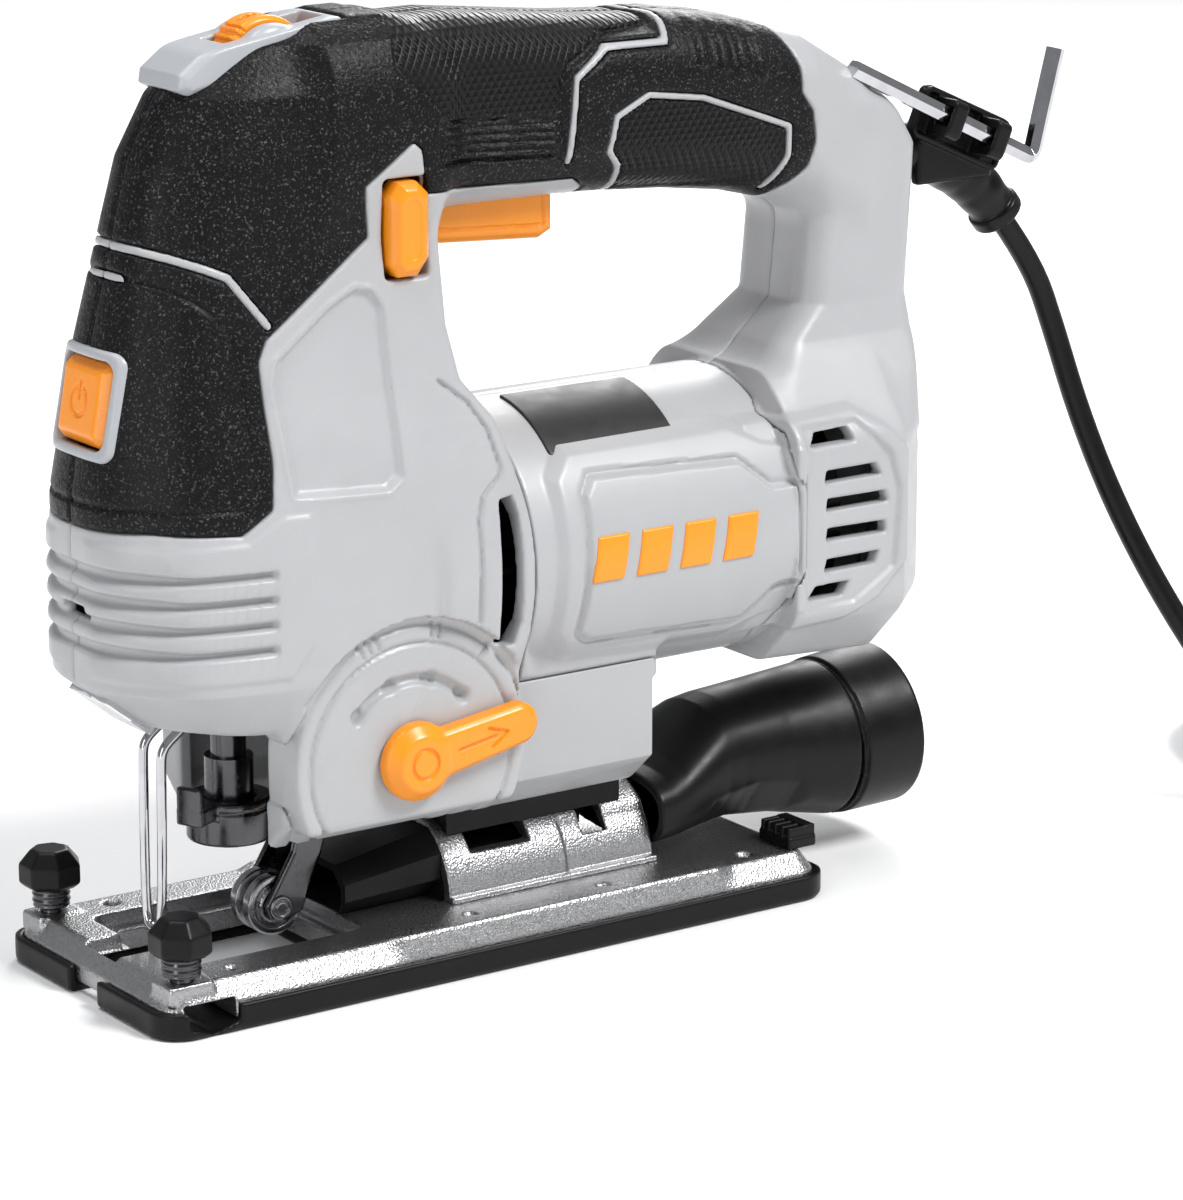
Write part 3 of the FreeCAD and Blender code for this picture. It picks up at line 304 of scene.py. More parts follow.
def make_materials():
    black = (0.005, 0.005, 0.0054)
    moulded("housing_grey", (0.415, 0.42, 0.43), 0.36, 0.12, 0.012)
    moulded("trim_grey", (0.40, 0.415, 0.44), 0.34, 0.08, 0.01)
    moulded("control_orange", (0.90, 0.285, 0.008), 0.30, 0.06, 0.015, 1400)
    moulded("badge_orange", (0.90, 0.30, 0.011), 0.33, 0.05)
    moulded("black_plastic", black, 0.36, 0.2, 0.05, Specular_IOR_Level=0.2)
    moulded("cord_rubber", black, 0.32, 0.08, 0.05, Specular_IOR_Level=0.22)
    moulded("label_black", (0.012, 0.012, 0.012), 0.45, 0.03)
    rubber_with_painted_glints("grip_rubber", (0.005, 0.005, 0.0055))
    knurled_rubber("grip_knurl", (0.006, 0.006, 0.0065))
    cast = metal("sole_cast", (0.44, 0.44, 0.445), 0.36, 900, 0.3, 1900, 0.1)
    pits = noise(cast.node_tree, 1900, kind="ShaderNodeTexVoronoi")
    bump(cast, pits.outputs["Distance"], 0.7, 0.00015)
    metal("dark_steel", (0.10, 0.10, 0.105), 0.24, 120, 0.15)
    metal("bright_steel", (0.34, 0.34, 0.35), 0.24, 150, 0.1)
    metal("chrome", (0.56, 0.56, 0.58), 0.09, 200, 0.05, spread=0.03)
    metal("frame_aluminium", (0.55, 0.55, 0.56), 0.4, 90, 0.3)
    metal("bronze", (0.55, 0.33, 0.14), 0.35, 120, 0.2)
    metal("copper", (0.65, 0.25, 0.09), 0.3, 200, 0.2)
    metal("brass", (0.7, 0.5, 0.2), 0.28, 150, 0.15)
    metal("lamination", (0.22, 0.22, 0.23), 0.45, 200, 0.4)
    moulded("carbon", (0.02, 0.02, 0.02), 0.6)
    moulded("circuit_board", (0.02, 0.12, 0.05), 0.35)
    lens = paint("lens", (0.93, 0.95, 0.97), 0.08, Transmission_Weight=0.85, IOR=1.49)
    vary_roughness(lens, 0.05, 0.12, 200)
    bump(lens, noise(lens.node_tree, 700, 1).outputs["Fac"], 0.05, 0.00005)


def slot_material(slot_name):
    return MATERIALS[SHARED.get(slot_name, slot_name)]


def paint_frame():
    """Every CAD node that stays gets the detailed material of its slot, except the bevel saddle, which gets
    black plastic as painted shade.
    """
    slot_of = {part["node"]: part["material_slot"] for part in frame["record"]["subparts"]}
    for name, obj in frame["nodes"].items():
        # Painted shade: the bevel saddle is made black plastic instead of its aluminium slot, to stand for
        # the shadow under the housing's bottom edge.
        wanted = slot_material("black_plastic" if name == "bevel_saddle" else slot_of[name])
        if not obj.material_slots:
            obj.data.materials.append(wanted)
        for material_slot in obj.material_slots:
            material_slot.link = "OBJECT"
            material_slot.material = wanted


# ---- solid forms on a grid ----------------------------------------------------------------
# A form is a field over a grid: its value is about the distance to the surface in millimetres,
# negative inside.  Fields that depend on two axes only are worked out in two dimensions.
class Grid:
    """Points of a box; w is the distance from the tool's middle plane."""
    def __init__(self, low, high, step):
        self.low, self.step = np.array(low, float), float(step)
        count = np.ceil((np.array(high, float) - self.low) / step).astype(int) + 1
        x, y, z = ((self.low[a] + step * np.arange(count[a])).astype(f32) for a in range(3))
        self.x, self.y, self.z = x[:, None, None], y[None, :, None], z[None, None, :]
        self.w = abs(self.y)
        self.shape = tuple(count)


def smax(a, b, k):
    """The larger of two fields, with the edge between them rounded over about k."""
    h = clip(0.5 + 0.5 * (a - b) / k, 0, 1)
    return b + (a - b) * h + k * h * (1 - h)


def smin(a, b, k):
    """The smaller of two fields: both forms together, with a rounded inner edge."""
    return -smax(-a, -b, k)


def cut(a, b, k):
    """Form a without form b."""
    return smax(a, -b, k)


def turned(p, q, degrees):
    """Coordinates along and across a direction in the plane of p and q."""
    c, s = cos(radians(degrees)), sin(radians(degrees))
    return p * c + q * s, q * c - p * s


def rows(table, at, k):
    """Column k of a table of stations, read at a coordinate."""
    return np.interp(at, [r[0] for r in table], [r[k] for r in table]).astype(f32)


def ring(p, q, half_p, half_q, r):
    """Distance to a rounded rectangle's outline in the plane of p and q."""
    u, v = abs(p) - (half_p - r), abs(q) - (half_q - r)
    return hypot(maximum(u, 0), maximum(v, 0)) + minimum(maximum(u, v), 0) - r


def block(g, x0, x1, y0, y1, z0, z1, r):
    """Distance to a box with rounded edges."""
    u, v, w = (abs(axis - (low + high) / 2) - ((high - low) / 2 - r)
               for axis, low, high in ((g.x, x0, x1), (g.y, y0, y1), (g.z, z0, z1)))
    outside = np.sqrt(maximum(u, 0) ** 2 + maximum(v, 0) ** 2 + maximum(w, 0) ** 2)
    return outside + minimum(maximum(maximum(u, v), w), 0) - r


def line_distance(points, x, z, closed=False):
    """Distance in the side view to a line through points."""
    points = list(points) + ([points[0]] if closed else [])
    best = np.full(np.broadcast(x, z).shape, 1e9, f32)
    for (ax, az), (bx, bz) in zip(points, points[1:]):
        dx, dz = bx - ax, bz - az
        t = clip(((x - ax) * dx + (z - az) * dz) / max(dx * dx + dz * dz, 1e-9), 0, 1)
        best = minimum(best, hypot(x - ax - t * dx, z - az - t * dz))
    return best


def area_distance(points, x, z):
    """The same, negative inside the closed outline."""
    inside = np.zeros(np.broadcast(x, z).shape, bool)
    for (ax, az), (bx, bz) in zip(points, points[1:] + points[:1]):
        if az != bz:
            crosses = (az > z) != (bz > z)
            inside ^= crosses & (x < (bx - ax) * (z - az) / (bz - az) + ax)
    return np.where(inside, -1, 1) * line_distance(points, x, z, True)


def raised(distance, height, edge):
    """Relief of a given height inside an outline, with a sloped edge."""
    return height * clip(0.5 - distance / edge, 0, 1)


def groove(distance, depth, width):
    """Relief of a channel along a line."""
    return -depth * clip(1.25 - distance / (width / 2), 0, 1)


# ---- the housing's outer form -------------------------------------------------------------
HEAD_LEVELS = [            # z, front x, half-widths at the front, corner and side, rear x
    (61.5, 14, 9, 25, 30.5, 95), (73, 0, 12, 28, 33.5, 95),
    (100, 0, 12, 28, 33.5, 95), (113, 0.2, 11.5, 27, 32.5, 95),
    (125, 2.2, 11, 25, 30, 91), (134, 3.8, 10.5, 23.5, 27.5, 84),
    (146, 5.9, 10, 22, 25, 82), (165, 10.7, 9, 19.5, 22, 82),
    (185, 15.9, 8, 17, 20.5, 84), (198, 22.5, 6.5, 14.5, 18.5, 84),
    (208, 33, 4.5, 10, 13, 80), (212, 43, 3, 6.5, 8, 76)]
GRIP_STATIONS = [          # x, lowest z, highest z, half-width
    (56, 166, 211.5, 20), (93, 168.5, 212, 19.5), (128, 168.5, 208.6, 19.5),
    (150, 167.2, 207.4, 20), (167, 165.1, 205.4, 20), (188, 160, 199.8, 18.5),
    (204, 152, 190.8, 15.5), (214, 158, 184, 11)]
POST_LEVELS = [            # z, front x, rear x, half-width
    (108, 168, 221, 29), (120, 171, 220, 23), (129, 178, 219, 18),
    (137, 187, 219, 15.5), (158, 189, 220.3, 15.5), (172, 184, 220.8, 16),
    (182, 176, 214.5, 15)]
CAP_STATIONS = [           # x, lowest z, highest z, half-width
    (171, 54.6, 124, 34.2), (203, 53, 122, 33), (213, 58, 116, 25),
    (221.8, 78, 108.5, 11)]
TOP_Z = 212                # of the head
SHAFT_Z, BARREL_R = 89.3, 34
SELECTOR, BOSS_Y = (66.7, 51.7), -31.5
CLAMP_X = 38.3             # the plunger's axis
BEVEL_BOLT_X = 127


def head_form(g):
    level = clip(g.z, 61.5, TOP_Z)
    front, nose, corner, side, rear = (rows(HEAD_LEVELS, level, k) for k in range(1, 6))
    reach = minimum(31, (rear - front) * 0.45)
    across, along = corner - nose, 0.42 * reach
    size = hypot(across, along)
    bevel = (-(g.x - front) * across + (g.w - nose) * along) / size
    across2, along2 = side - corner, 0.58 * reach
    size2 = hypot(across2, along2)
    cheek = (-(g.x - front - along) * across2 + (g.w - corner) * along2) / size2
    field = smax(front - g.x, bevel, 6)
    field = smax(field, cheek, 3)
    field = smax(field, g.w - side, 4)
    field = smax(field, g.x - rear, 4)
    return smax(smax(field, g.z - TOP_Z, 2), 61.5 - g.z, 2)


def grip_form(g):
    low, high, half = (rows(GRIP_STATIONS, g.x, k) for k in (1, 2, 3))
    field = ring(g.y, g.z - (low + high) / 2, half, (high - low) / 2, half * 0.72)
    return smax(smax(field, g.x - 214, 5), 56 - g.x, 2)


def post_form(g):
    front, rear, half = (rows(POST_LEVELS, g.z, k) for k in (1, 2, 3))
    field = ring(g.x - (front + rear) / 2, g.y, (rear - front) / 2, half, 6.5)
    field = smax(field, g.w - rows(CAP_STATIONS, g.x, 3), 3)
    return smax(smax(field, 108 - g.z, 1), g.z - 182, 4)


def cap_form(g):
    low, high, half = (rows(CAP_STATIONS, g.x, k) for k in (1, 2, 3))
    up = abs(g.z - (low + high) / 2) - (high - low) / 2
    out = g.w - half
    field = smax(smax(up, out, 2), (up + out + 0.42 * half) / sqrt(2), 2.5)
    return smax(smax(field, g.x - 221.8, 2), 171 - g.x, 0.5)


def skirt_form(g):
    front = np.interp(g.z, (32, 40, 62, 75), (18, 27, 28.5, 32)).astype(f32)
    rear = np.interp(g.z, (32, 40, 72), (18, 27, 27)).astype(f32)
    a = smax(smax(g.w - front, 36.5 - g.x, 2), g.x - 95, 1)
    b = smax(smax(g.w - rear, 90 - g.x, 1), g.x - 137, 3)
    return smax(smax(smin(a, b, 2), 32 - g.z, 1.5), g.z - 74, 1)


def boss_form(g):
    """Round pad under the orbit selector, on the left side only."""
    disc = hypot(g.x - SELECTOR[0], g.z - SELECTOR[1]) - 31
    field = smax(disc, BOSS_Y - g.y, 1.6)
    return smax(smax(field, g.y + 5, 1), smax(38 - g.z, 36.5 - g.x, 2), 1.5)


def tube_x(g, y, z, r):
    return hypot(g.y - y, g.z - z) - r


def tube_y(g, x, z, r):
    return hypot(g.x - x, g.z - z) - r


def tube_z(g, x, y, r):
    return hypot(g.x - x, g.y - y) - r


def shoulder_form(g):
    """Round collar of the head that takes the motor barrel."""
    return smax(smax(tube_x(g, 0, SHAFT_Z, BARREL_R), g.x - 98, 1), 76 - g.x, 2)


def housing_form(g):
    field = smin(head_form(g), skirt_form(g), 3)
    field = smin(field, shoulder_form(g), 5)
    field = smin(field, grip_form(g), 9)
    rear = smin(post_form(g), cap_form(g), 5)
    return smin(field, smin(rear, grip_form(g), 6), 0.5)


# ---- relief of the housing, drawn in the side view ----------------------------------------
OVERMOULD = [
    (-6, 107.5), (8.5, 108.6), (25.3, 107.8), (32.2, 112.5), (33.6, 122), (33.6, 143), (36, 147.5),
    (62.9, 166.6), (61.9, 177.7), (69.6, 182.8), (74.7, 186.3), (76.8, 184.5), (77.5, 174.9), (103, 173.9),
    (120.5, 173.4), (124.6, 171), (126, 160), (177, 158), (178.8, 164.9), (184.5, 169.9), (186.4, 176.1),
    (185.7, 183), (182.3, 187.5), (182.5, 193), (180.1, 199.5), (178, 203), (177, 230), (-6, 230)]
NOSE_LINE = [(2, 169.2), (13.1, 167.2), (18.1, 165.7), (24, 163.5), (28.7, 161.4), (36.8, 150.6)]
NOSE_GROOVE = [
    (2, 163.4), (11.7, 161.1), (16.6, 159.4), (20.9, 157.1), (24.4, 154.1), (28.6, 149.5), (29.9, 141.1),
    (29.7, 118), (24.5, 113.4), (8.6, 113.2), (0, 113.4)]
GRIP_LINE = [
    (117.4, 177.7), (118.7, 189), (119.3, 196), (128.7, 202), (145, 201.9), (147, 206), (147.6, 214)]
GRIP_STEP = [(115.4, 178.5), (116, 196.4), (118, 199), (129.4, 204.3), (143.6, 204.9), (144.6, 214)]
PALM = [
    (133.4, 168.5), (131.6, 175.4), (128.4, 178.9), (130.1, 186.5), (138.8, 190.8), (153.8, 188.9),
    (178.7, 180.2), (178.6, 173.2), (175, 166)]
THUMB = [
    (74.9, 214), (71.7, 202), (82.6, 192.4), (83, 189.6), (114.4, 187.9), (115.2, 196.6), (117.6, 199.4),
    (129.2, 204.9), (143.2, 205.6), (144, 214)]
THUMB_RIBS = [(82, 189.8), (114.2, 187.6), (113.9, 179.2), (81.6, 180.8)]
NECK_PANEL = [
    (38, 115.2), (60.6, 113.8), (64.2, 116.2), (64.3, 151.7), (62.2, 155), (58.5, 155.8), (52, 152.6),
    (38.2, 142.6), (36.6, 138)]
NOSE_PLATE = [(-6, 105.2), (26.2, 106), (34.8, 111), (41, 110.8), (40.9, 82.6), (35.1, 75.6), (-6, 75.6)]
FRONT_SEAM = [
    (77, 134.5), (83.4, 129.3), (87.6, 122.9), (89.9, 114.3), (89.1, 112.4), (84.7, 108.5), (83.3, 103.7),
    (82.8, 81)]
REAR_SEAM = [
    (168.5, 135), (169.2, 118), (167.6, 115.2), (170.9, 110), (171, 106), (172.1, 102), (172.1, 80.6),
    (171, 75), (166.8, 66.4), (166.3, 63.6), (168.6, 59), (169, 40)]
SIDE_PAD = [
    (104.2, 74), (109.8, 67), (155.6, 65.4), (164, 69), (180, 69), (180, 108), (164, 111), (156.5, 115),
    (111, 114.6), (105.4, 109)]
SIDE_PANEL = [
    (110.6, 74), (114, 71.6), (156.6, 70), (163.8, 77.4), (169.6, 78.2), (169.4, 100.4), (163, 100.6),
    (155.4, 107), (115.4, 108.6), (112.4, 105)]
CAP_FRAME = [
    (160, 114.6), (189, 115.4), (197.4, 110.4), (203.5, 104), (203.5, 78), (194.5, 70.2), (185, 66),
    (160, 64.4)]
CAP_SLOTS = [
    [(174, 108), (176.6, 111), (186.6, 111.2), (187.8, 107.9)],
    [(178.2, 99.1), (178.8, 102), (193.9, 102), (195.6, 99.1)],
    [(178.8, 92.4), (179.2, 95.3), (196.8, 95.1), (197.9, 92.3)],
    [(178.8, 85.4), (179.5, 88.3), (197, 87.9), (197.3, 85)],
    [(178.4, 78), (179.2, 80.9), (195.2, 80.9), (193.9, 78)],
    [(173.4, 72.2), (175.8, 75.1), (186.3, 74.9), (184.1, 71.8)]]
FRONT_VENT = [(88.9, 107.6), (92.6, 107.9), (94.2, 103), (94.2, 79), (92.3, 74.2), (88.4, 74.6)]
REAR_RIBS = [((154.5, 205.4), (153.6, 197.2)), ((160.4, 204.2), (159.4, 195.7)),
             ((165.6, 202.9), (164.8, 194.3)), ((170.4, 201), (170, 193))]


def polar(radius, degrees):
    """A point round the selector's axis, degrees measured from straight up towards the rear."""
    turn = radians(degrees)
    return (SELECTOR[0] + radius * sin(turn), SELECTOR[1] + radius * cos(turn))


def arc_points(radius, start, end):
    return [polar(radius, start + (end - start) * k / 13) for k in range(14)]


def housing_relief(x, z, left):
    """Height of the relief over the plain form, in the side view."""
    relief = groove(line_distance(FRONT_SEAM, x, z), 1.2, 1.3)
    panel = area_distance(NECK_PANEL, x, z)
    relief += raised(panel, -1.3, 1.4) + raised(abs(panel - 1.2) - 0.5, 0.45, 1)
    relief += raised(area_distance(NOSE_PLATE, x, z), 0.7, 1.2)
    for level in (98.9, 93.4, 87.8, 82.3):
        rise = clip((14 - x) / 14, 0, 1) * 0.7
        stripe = abs(z - level) - (0.75 + rise)
        relief += -2.1 * clip(0.5 - stripe / 0.8, 0, 1) * clip((32.2 - x) / 0.8, 0, 1)
    pad = area_distance(SIDE_PAD, x, z)
    frame_rise = area_distance(CAP_FRAME, x, z)
    relief += maximum(raised(pad, 1.7, 2.6), raised(frame_rise, 1.3, 1.3))
    inner = area_distance(SIDE_PANEL, x, z)
    relief += raised(inner, 0.6, 1) + groove(abs(inner - 0.6), 0.9, 1.5)
    well = area_distance([(172.5, 70), (187, 70), (199.5, 77), (200.8, 95), (198, 104),
                          (189, 112.6), (172.5, 112.8)], x, z)
    relief += raised(well, -1.2, 1.3)
    skirt_joint = clip(abs(x - 136) - 0.5, 0, 9)
    relief += groove(skirt_joint + clip(z - 58, 0, 9), 0.7, 1.2)
    if left:
        away = hypot(x - SELECTOR[0], z - SELECTOR[1])
        face = away < 29.5
        relief += groove(abs(away - 26.2), 1, 1.1) * face + groove(abs(away - 30.4), 1, 1.4)
        path = line_distance(arc_points(18.2, -52, 48), x, z)
        relief += raised(path - 1.1, -1.6, 0.7) * face
        for at in (-50, -17, 16, 47):
            relief += raised(line_distance([polar(18.2, at)] * 2, x, z) - 1.9, -0.8, 0.7) * face
        for at, count in ((-22, 3), (13, 2), (41, 1)):
            for k in range(count):
                turn = at + (k - (count - 1) / 2) * 4.2
                relief += raised(line_distance([polar(27.6, turn), polar(30.6, turn)], x, z) - 0.4, -0.9, 0.6)
        zero = polar(28.2, 72)
        relief += groove(abs(hypot(x - zero[0], z - zero[1]) - 1.2), 0.5, 0.8)
    return relief


def cover_distance(x, z):
    """Outline of the soft overmould, less the hard lines that show through it."""
    area = area_distance(OVERMOULD, x, z)
    lines = [line_distance(NOSE_LINE, x, z) - 0.95, line_distance(GRIP_LINE, x, z) - 0.8,
             line_distance(PALM, x, z) - 0.75,
             line_distance([(2, 161.9), (10.4, 161.2)], x, z) - 0.9]
    for line in lines:
        area = maximum(area, -line)
    return area


def cover_relief(x, z):
    relief = groove(line_distance(NOSE_GROOVE, x, z), 0.8, 1.1)
    relief += groove(line_distance(GRIP_STEP, x, z), 1.1, 1.6)
    relief += raised(area_distance(PALM, x, z) + 0.9, -0.45, 0.8)
    thumb = area_distance(THUMB, x, z)
    relief += raised(thumb, -0.5, 1) + groove(abs(thumb), 0.5, 0.9)
    relief += groove(abs(area_distance(THUMB_RIBS, x, z)), 0.6, 0.9)
    for k in range(5):
        z0 = 188.3 - 1.85 * k
        relief += groove(line_distance([(83, z0), (113, z0 - 1.5)], x, z), 0.9, 1.2)
    for a, b in REAR_RIBS:
        relief += raised(line_distance([a, b], x, z) - 1.5, 0.9, 1.2)
    return relief


def on_nose(g):
    """Depth behind and height along the leaning front of the nose, at the light button."""
    return turned(g.x - 3.9, g.z - 134.5, -10.1)


def flat_plate(field, axis, low, high, k):
    """A side outline given a thickness."""
    return smax(field, abs(axis - (low + high) / 2) - (high - low) / 2, k)


def leaning(g, grow, low, high):
    """A block that leans with the nose, for the light button and the hole round it."""
    depth, up = on_nose(g)
    return flat_plate(ring(g.y, up, 10 + grow, 9.5 + grow, 1.6), depth, low, high, 0.6)


CASE_SCREWS = [(27, 168), (22, 82), (76, 202), (134, 180), (205, 146), (211, 70), (128, 44)]


def side_height(x, z):
    """How far out the right side of the housing lies at a point of the side view."""
    g = Grid((x - 0.5, 0, z - 0.5), (x + 0.5, 37.5, z + 0.5), 0.5)
    return float(g.y[0, :, 0][housing_form(g)[1, :, 1] < 0].max())


def case_screw_form(g, x, y, z):
    """A raised round head with a cross recess, facing the right side."""
    r = hypot(g.x - x, g.z - z)
    head = flat_plate(r - 3.1, g.y, y - 3.4, y - 1 - 0.05 * r * r, 0.3)
    cross = minimum(ring(g.x - x, g.z - z, 2, 0.42, 0.2), ring(g.x - x, g.z - z, 0.42, 2, 0.2))
    return cut(head, maximum(cross, y - 2.4 - g.y), 0.15)


def housing_openings(g):
    """Everything that is cut out of the shell, as one field."""
    span = maximum(g.x - 174, 79 - g.x)
    holes = [
        smax(tube_x(g, 0, SHAFT_Z, 31), span, 1),
        block(g, 30, 79, -19, 19, 24, 61.4, 1.5),
        smax(tube_z(g, CLAMP_X, 0, 8), abs(g.z - 62) - 6, 0.4),
        block(g, 50, 79, -12, 12, 50, 66, 1),
        smax(tube_y(g, *SELECTOR, 4.3), g.y, 0.4),
        block(g, 83.5, 122.5, -9.5, 9.5, 158, 174, 1),
        block(g, 77.5, 85, -9.5, 9.5, 166, 178, 1),
        block(g, 66.4, 77.6, -34, -15, 157, 179, 1.2),
        block(g, 34.5, 62.5, -4.9, 4.9, 198, 220, 0.6),
        maximum(maximum(saddle_top(g.x) - 1.6 - g.z, g.w - 9.6), abs(g.x - 44) - 21),
        block(g, -3, 3.6, -5.2, 4.2, 87.7, 90.5, 0.3),
        smax(tube_x(g, 0, 168.6, 5.6), 205 - g.x, 0.4),
        leaning(g, 0.35, -5, 14),
        smax(tube_z(g, BEVEL_BOLT_X, 0, 3.1), abs(g.z - 40) - 12, 0.3)]
    if g.y.max() > 20:                  # the right half has the screws' wells
        holes += [maximum(tube_y(g, x, z, 3.5), side_height(x, z) - 3.2 - g.y) for x, z in CASE_SCREWS]
    slots = [maximum(area_distance(points, g.x, g.z), 22 - g.w) for points in CAP_SLOTS]
    slots.append(maximum(area_distance(FRONT_VENT, g.x, g.z), 24 - g.w))
    return reduce(minimum, holes + slots)


WALL, SKIN = 3.8, 2.4      # thickness of the shell, and of the soft cover in it


def shell_fields(g, left):
    """The hard half shell, the barrel and the soft cover, as three fields on one grid."""
    plain = housing_form(g)
    if left:
        plain = smin(plain, boss_form(g), 2)
        plain = np.where(tube_y(g, *SELECTOR, 32.3) < 0, maximum(plain, BOSS_Y - g.y), plain)
    barrel = maximum(tube_x(g, 0, SHAFT_Z, BARREL_R), maximum(g.x - 173, 97 - g.x))
    whole = smax(minimum(plain, barrel), g.z - 213.3, 1)
    relief = housing_relief(g.x, g.z, left)
    openings = housing_openings(g)
    seam_x = rows([(z, x) for x, z in REAR_SEAM[::-1]], g.z, 1)
    on_barrel = maximum(tube_x(g, 0, SHAFT_Z, 37.2), maximum(98 - g.x, g.x - seam_x))
    cover = cover_distance(g.x, g.z)
    seam = 0.35 * clip(1 - g.w / 0.8, 0, 1)
    outer = maximum(whole - relief + seam, 0.02 - g.x)
    side = g.y + 0.06 if left else 0.06 - g.y
    inner = whole + WALL
    if not left:
        for x, z in CASE_SCREWS:
            inner = maximum(inner, -maximum(tube_y(g, x, z, 5.4), side_height(x, z) - 8 - g.y))
    hard = smax(outer, -inner, 0.5)
    hard = cut(hard, maximum(cover - 0.05, -(whole + SKIN)), 0.5)
    hard = cut(hard, openings, 0.7)
    hard = maximum(maximum(hard, -(on_barrel - 0.2)), side)
    tube = smax(outer, -tube_x(g, 0, SHAFT_Z, 31.2), 0.4)
    tube = maximum(tube, on_barrel + 0.15)
    for points in CAP_SLOTS[:1] + CAP_SLOTS[-1:]:
        tube = maximum(tube, -area_distance(points, g.x, g.z))
    skin = smax(whole - cover_relief(g.x, g.z) + seam, cover + 0.12, 0.9)
    skin = smax(skin, -(whole + SKIN), 0.4)
    skin = maximum(cut(skin, openings, 0.9), side)
    return hard, tube, skin


# ---- fields to meshes ---------------------------------------------------------------------
CORNERS = [(i, j, k) for i in (0, 1) for j in (0, 1) for k in (0, 1)]
EDGES = [(a, b) for a in range(8) for b in range(a + 1, 8)
         if sum(abs(p - q) for p, q in zip(CORNERS[a], CORNERS[b])) == 1]


def surface(field, g):
    """Points and four-sided faces of the surface where the field is zero."""
    field = np.ascontiguousarray(np.broadcast_to(field, g.shape), dtype=f32)
    inside = field < 0
    border = inside.copy()
    border[1:-1, 1:-1, 1:-1] = False
    if border.any():                    # a form that reaches the grid's end is closed there
        field = field.copy()
        for axis in range(3):
            for end in (0, -1):
                where = [slice(None)] * 3
                where[axis] = end
                field[tuple(where)] = maximum(field[tuple(where)], 0.01)
        inside = field < 0
    count = np.zeros(tuple(n - 1 for n in field.shape), np.uint8)
    for i, j, k in CORNERS:
        count += inside[i:field.shape[0] - 1 + i, j:field.shape[1] - 1 + j, k:field.shape[2] - 1 + k]
    cells = np.argwhere((count > 0) & (count < 8))
    number = np.full(count.shape, -1, np.int32)
    number[tuple(cells.T)] = np.arange(len(cells))
    values = [field[tuple((cells + c).T)] for c in CORNERS]
    total, hits = np.zeros((len(cells), 3), f32), np.zeros(len(cells), f32)
    for a, b in EDGES:
        crosses = (values[a] < 0) != (values[b] < 0)
        t = values[a] / np.where(crosses, values[a] - values[b], 1)
        point = np.array(CORNERS[a], f32) + t[:, None] * np.subtract(CORNERS[b], CORNERS[a]).astype(f32)
        total += np.where(crosses[:, None], point, 0)
        hits += crosses
    points = g.low + g.step * (cells + total / hits[:, None])
    faces = []
    for axis in range(3):
        u, v = (axis + 1) % 3, (axis + 2) % 3
        lower, upper = [slice(None)] * 3, [slice(None)] * 3
        lower[axis], upper[axis] = slice(0, -1), slice(1, None)
        change = inside[tuple(lower)] != inside[tuple(upper)]
        at = np.argwhere(change)
        for side in (u, v):
            at = at[(at[:, side] > 0) & (at[:, side] < field.shape[side] - 1)]
        flip = inside[tuple(at.T)]
        quad = []
        for du, dv in ((-1, -1), (0, -1), (0, 0), (-1, 0)):
            c = at.copy()
            c[:, u] += du
            c[:, v] += dv
            quad.append(number[tuple(c.T)])
        quad = np.stack(quad, 1)
        quad[~flip] = quad[~flip][:, ::-1]
        faces.append(quad)
    return points, np.concatenate(faces)


def mesh_object(name, points, faces, materials, choose):
    """A smooth-shaded object from arrays; choose picks each face's material by its middle."""
    data = bpy.data.meshes.new(name)
    data.vertices.add(len(points))
    data.vertices.foreach_set("co", place(points).astype(f32).ravel())
    size = faces.shape[1]
    data.loops.add(faces.size)
    data.loops.foreach_set("vertex_index", faces.astype(np.int32).ravel())
    data.polygons.add(len(faces))
    data.polygons.foreach_set("loop_start", np.arange(0, faces.size, size, dtype=np.int32))
    for material in materials:
        data.materials.append(material)
    if choose:
        middles = points[faces].mean(axis=1)
        data.polygons.foreach_set("material_index", choose(middles).astype(np.int32))
    data.update(calc_edges=True)
    data.validate()
    data.shade_smooth()
    return link(name, data)


def thin(obj, ratio):
    """Leaves a share of the faces, fewest where the surface is nearly flat."""
    modifier = obj.modifiers.new("thin", "DECIMATE")
    modifier.ratio = ratio
    bpy.context.view_layer.objects.active = obj
    bpy.ops.object.modifier_apply(modifier=modifier.name)


def assign(obj, body, nodes):
    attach(obj, body)
    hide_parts(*nodes)


def add_solid(name, field, g, body, slot_name, nodes, keep=1, choose=None, more=()):
    """The form as a piece that moves with a body and stands for CAD nodes."""
    points, faces = surface(field, g)
    obj = mesh_object(name, points, faces, [slot_material(slot_name), *more], choose)
    if keep < 1:
        thin(obj, keep)
    assign(obj, body, nodes)


# ---- smaller pieces -----------------------------------------------------------------------
def bevelled(side, face, drop, k):
    """Where an outline meets a face, with a chamfer of the given size between them."""
    return smax(smax(side, face, k), (side + face + drop) / sqrt(2), k)


def light_button_form(g):
    depth, up = on_nose(g)
    cap = bevelled(ring(g.y, up, 9.7, 9.2, 2.4), -0.7 - depth, 2.3, 0.5)
    cap = smax(cap, depth - 4.5, 0.4)
    mark = abs(hypot(g.y, up) - 3.2) - 0.45
    mark = np.where(up > 0, maximum(mark, 1.3 - g.w), mark)
    mark = minimum(mark, line_distance([(0, 0.8), (0, 4.4)], g.y, up) - 0.45)
    cap = cut(cap, maximum(mark, depth + 0.2), 0.15)
    return minimum(cap, leaning(g, -6.5, 4, 7))


def button_bezel_form(g):
    depth, up = on_nose(g)
    skin = housing_form(g)
    frame_form = smax(ring(g.y, up, 12.4, 11.9, 3.2), skin - 1.05, 1.1)
    frame_form = smax(frame_form, maximum(-(skin + 2.4), depth - 9), 0.3)
    return cut(frame_form, ring(g.y, up, 10.2, 9.7, 2.6), 0.7)


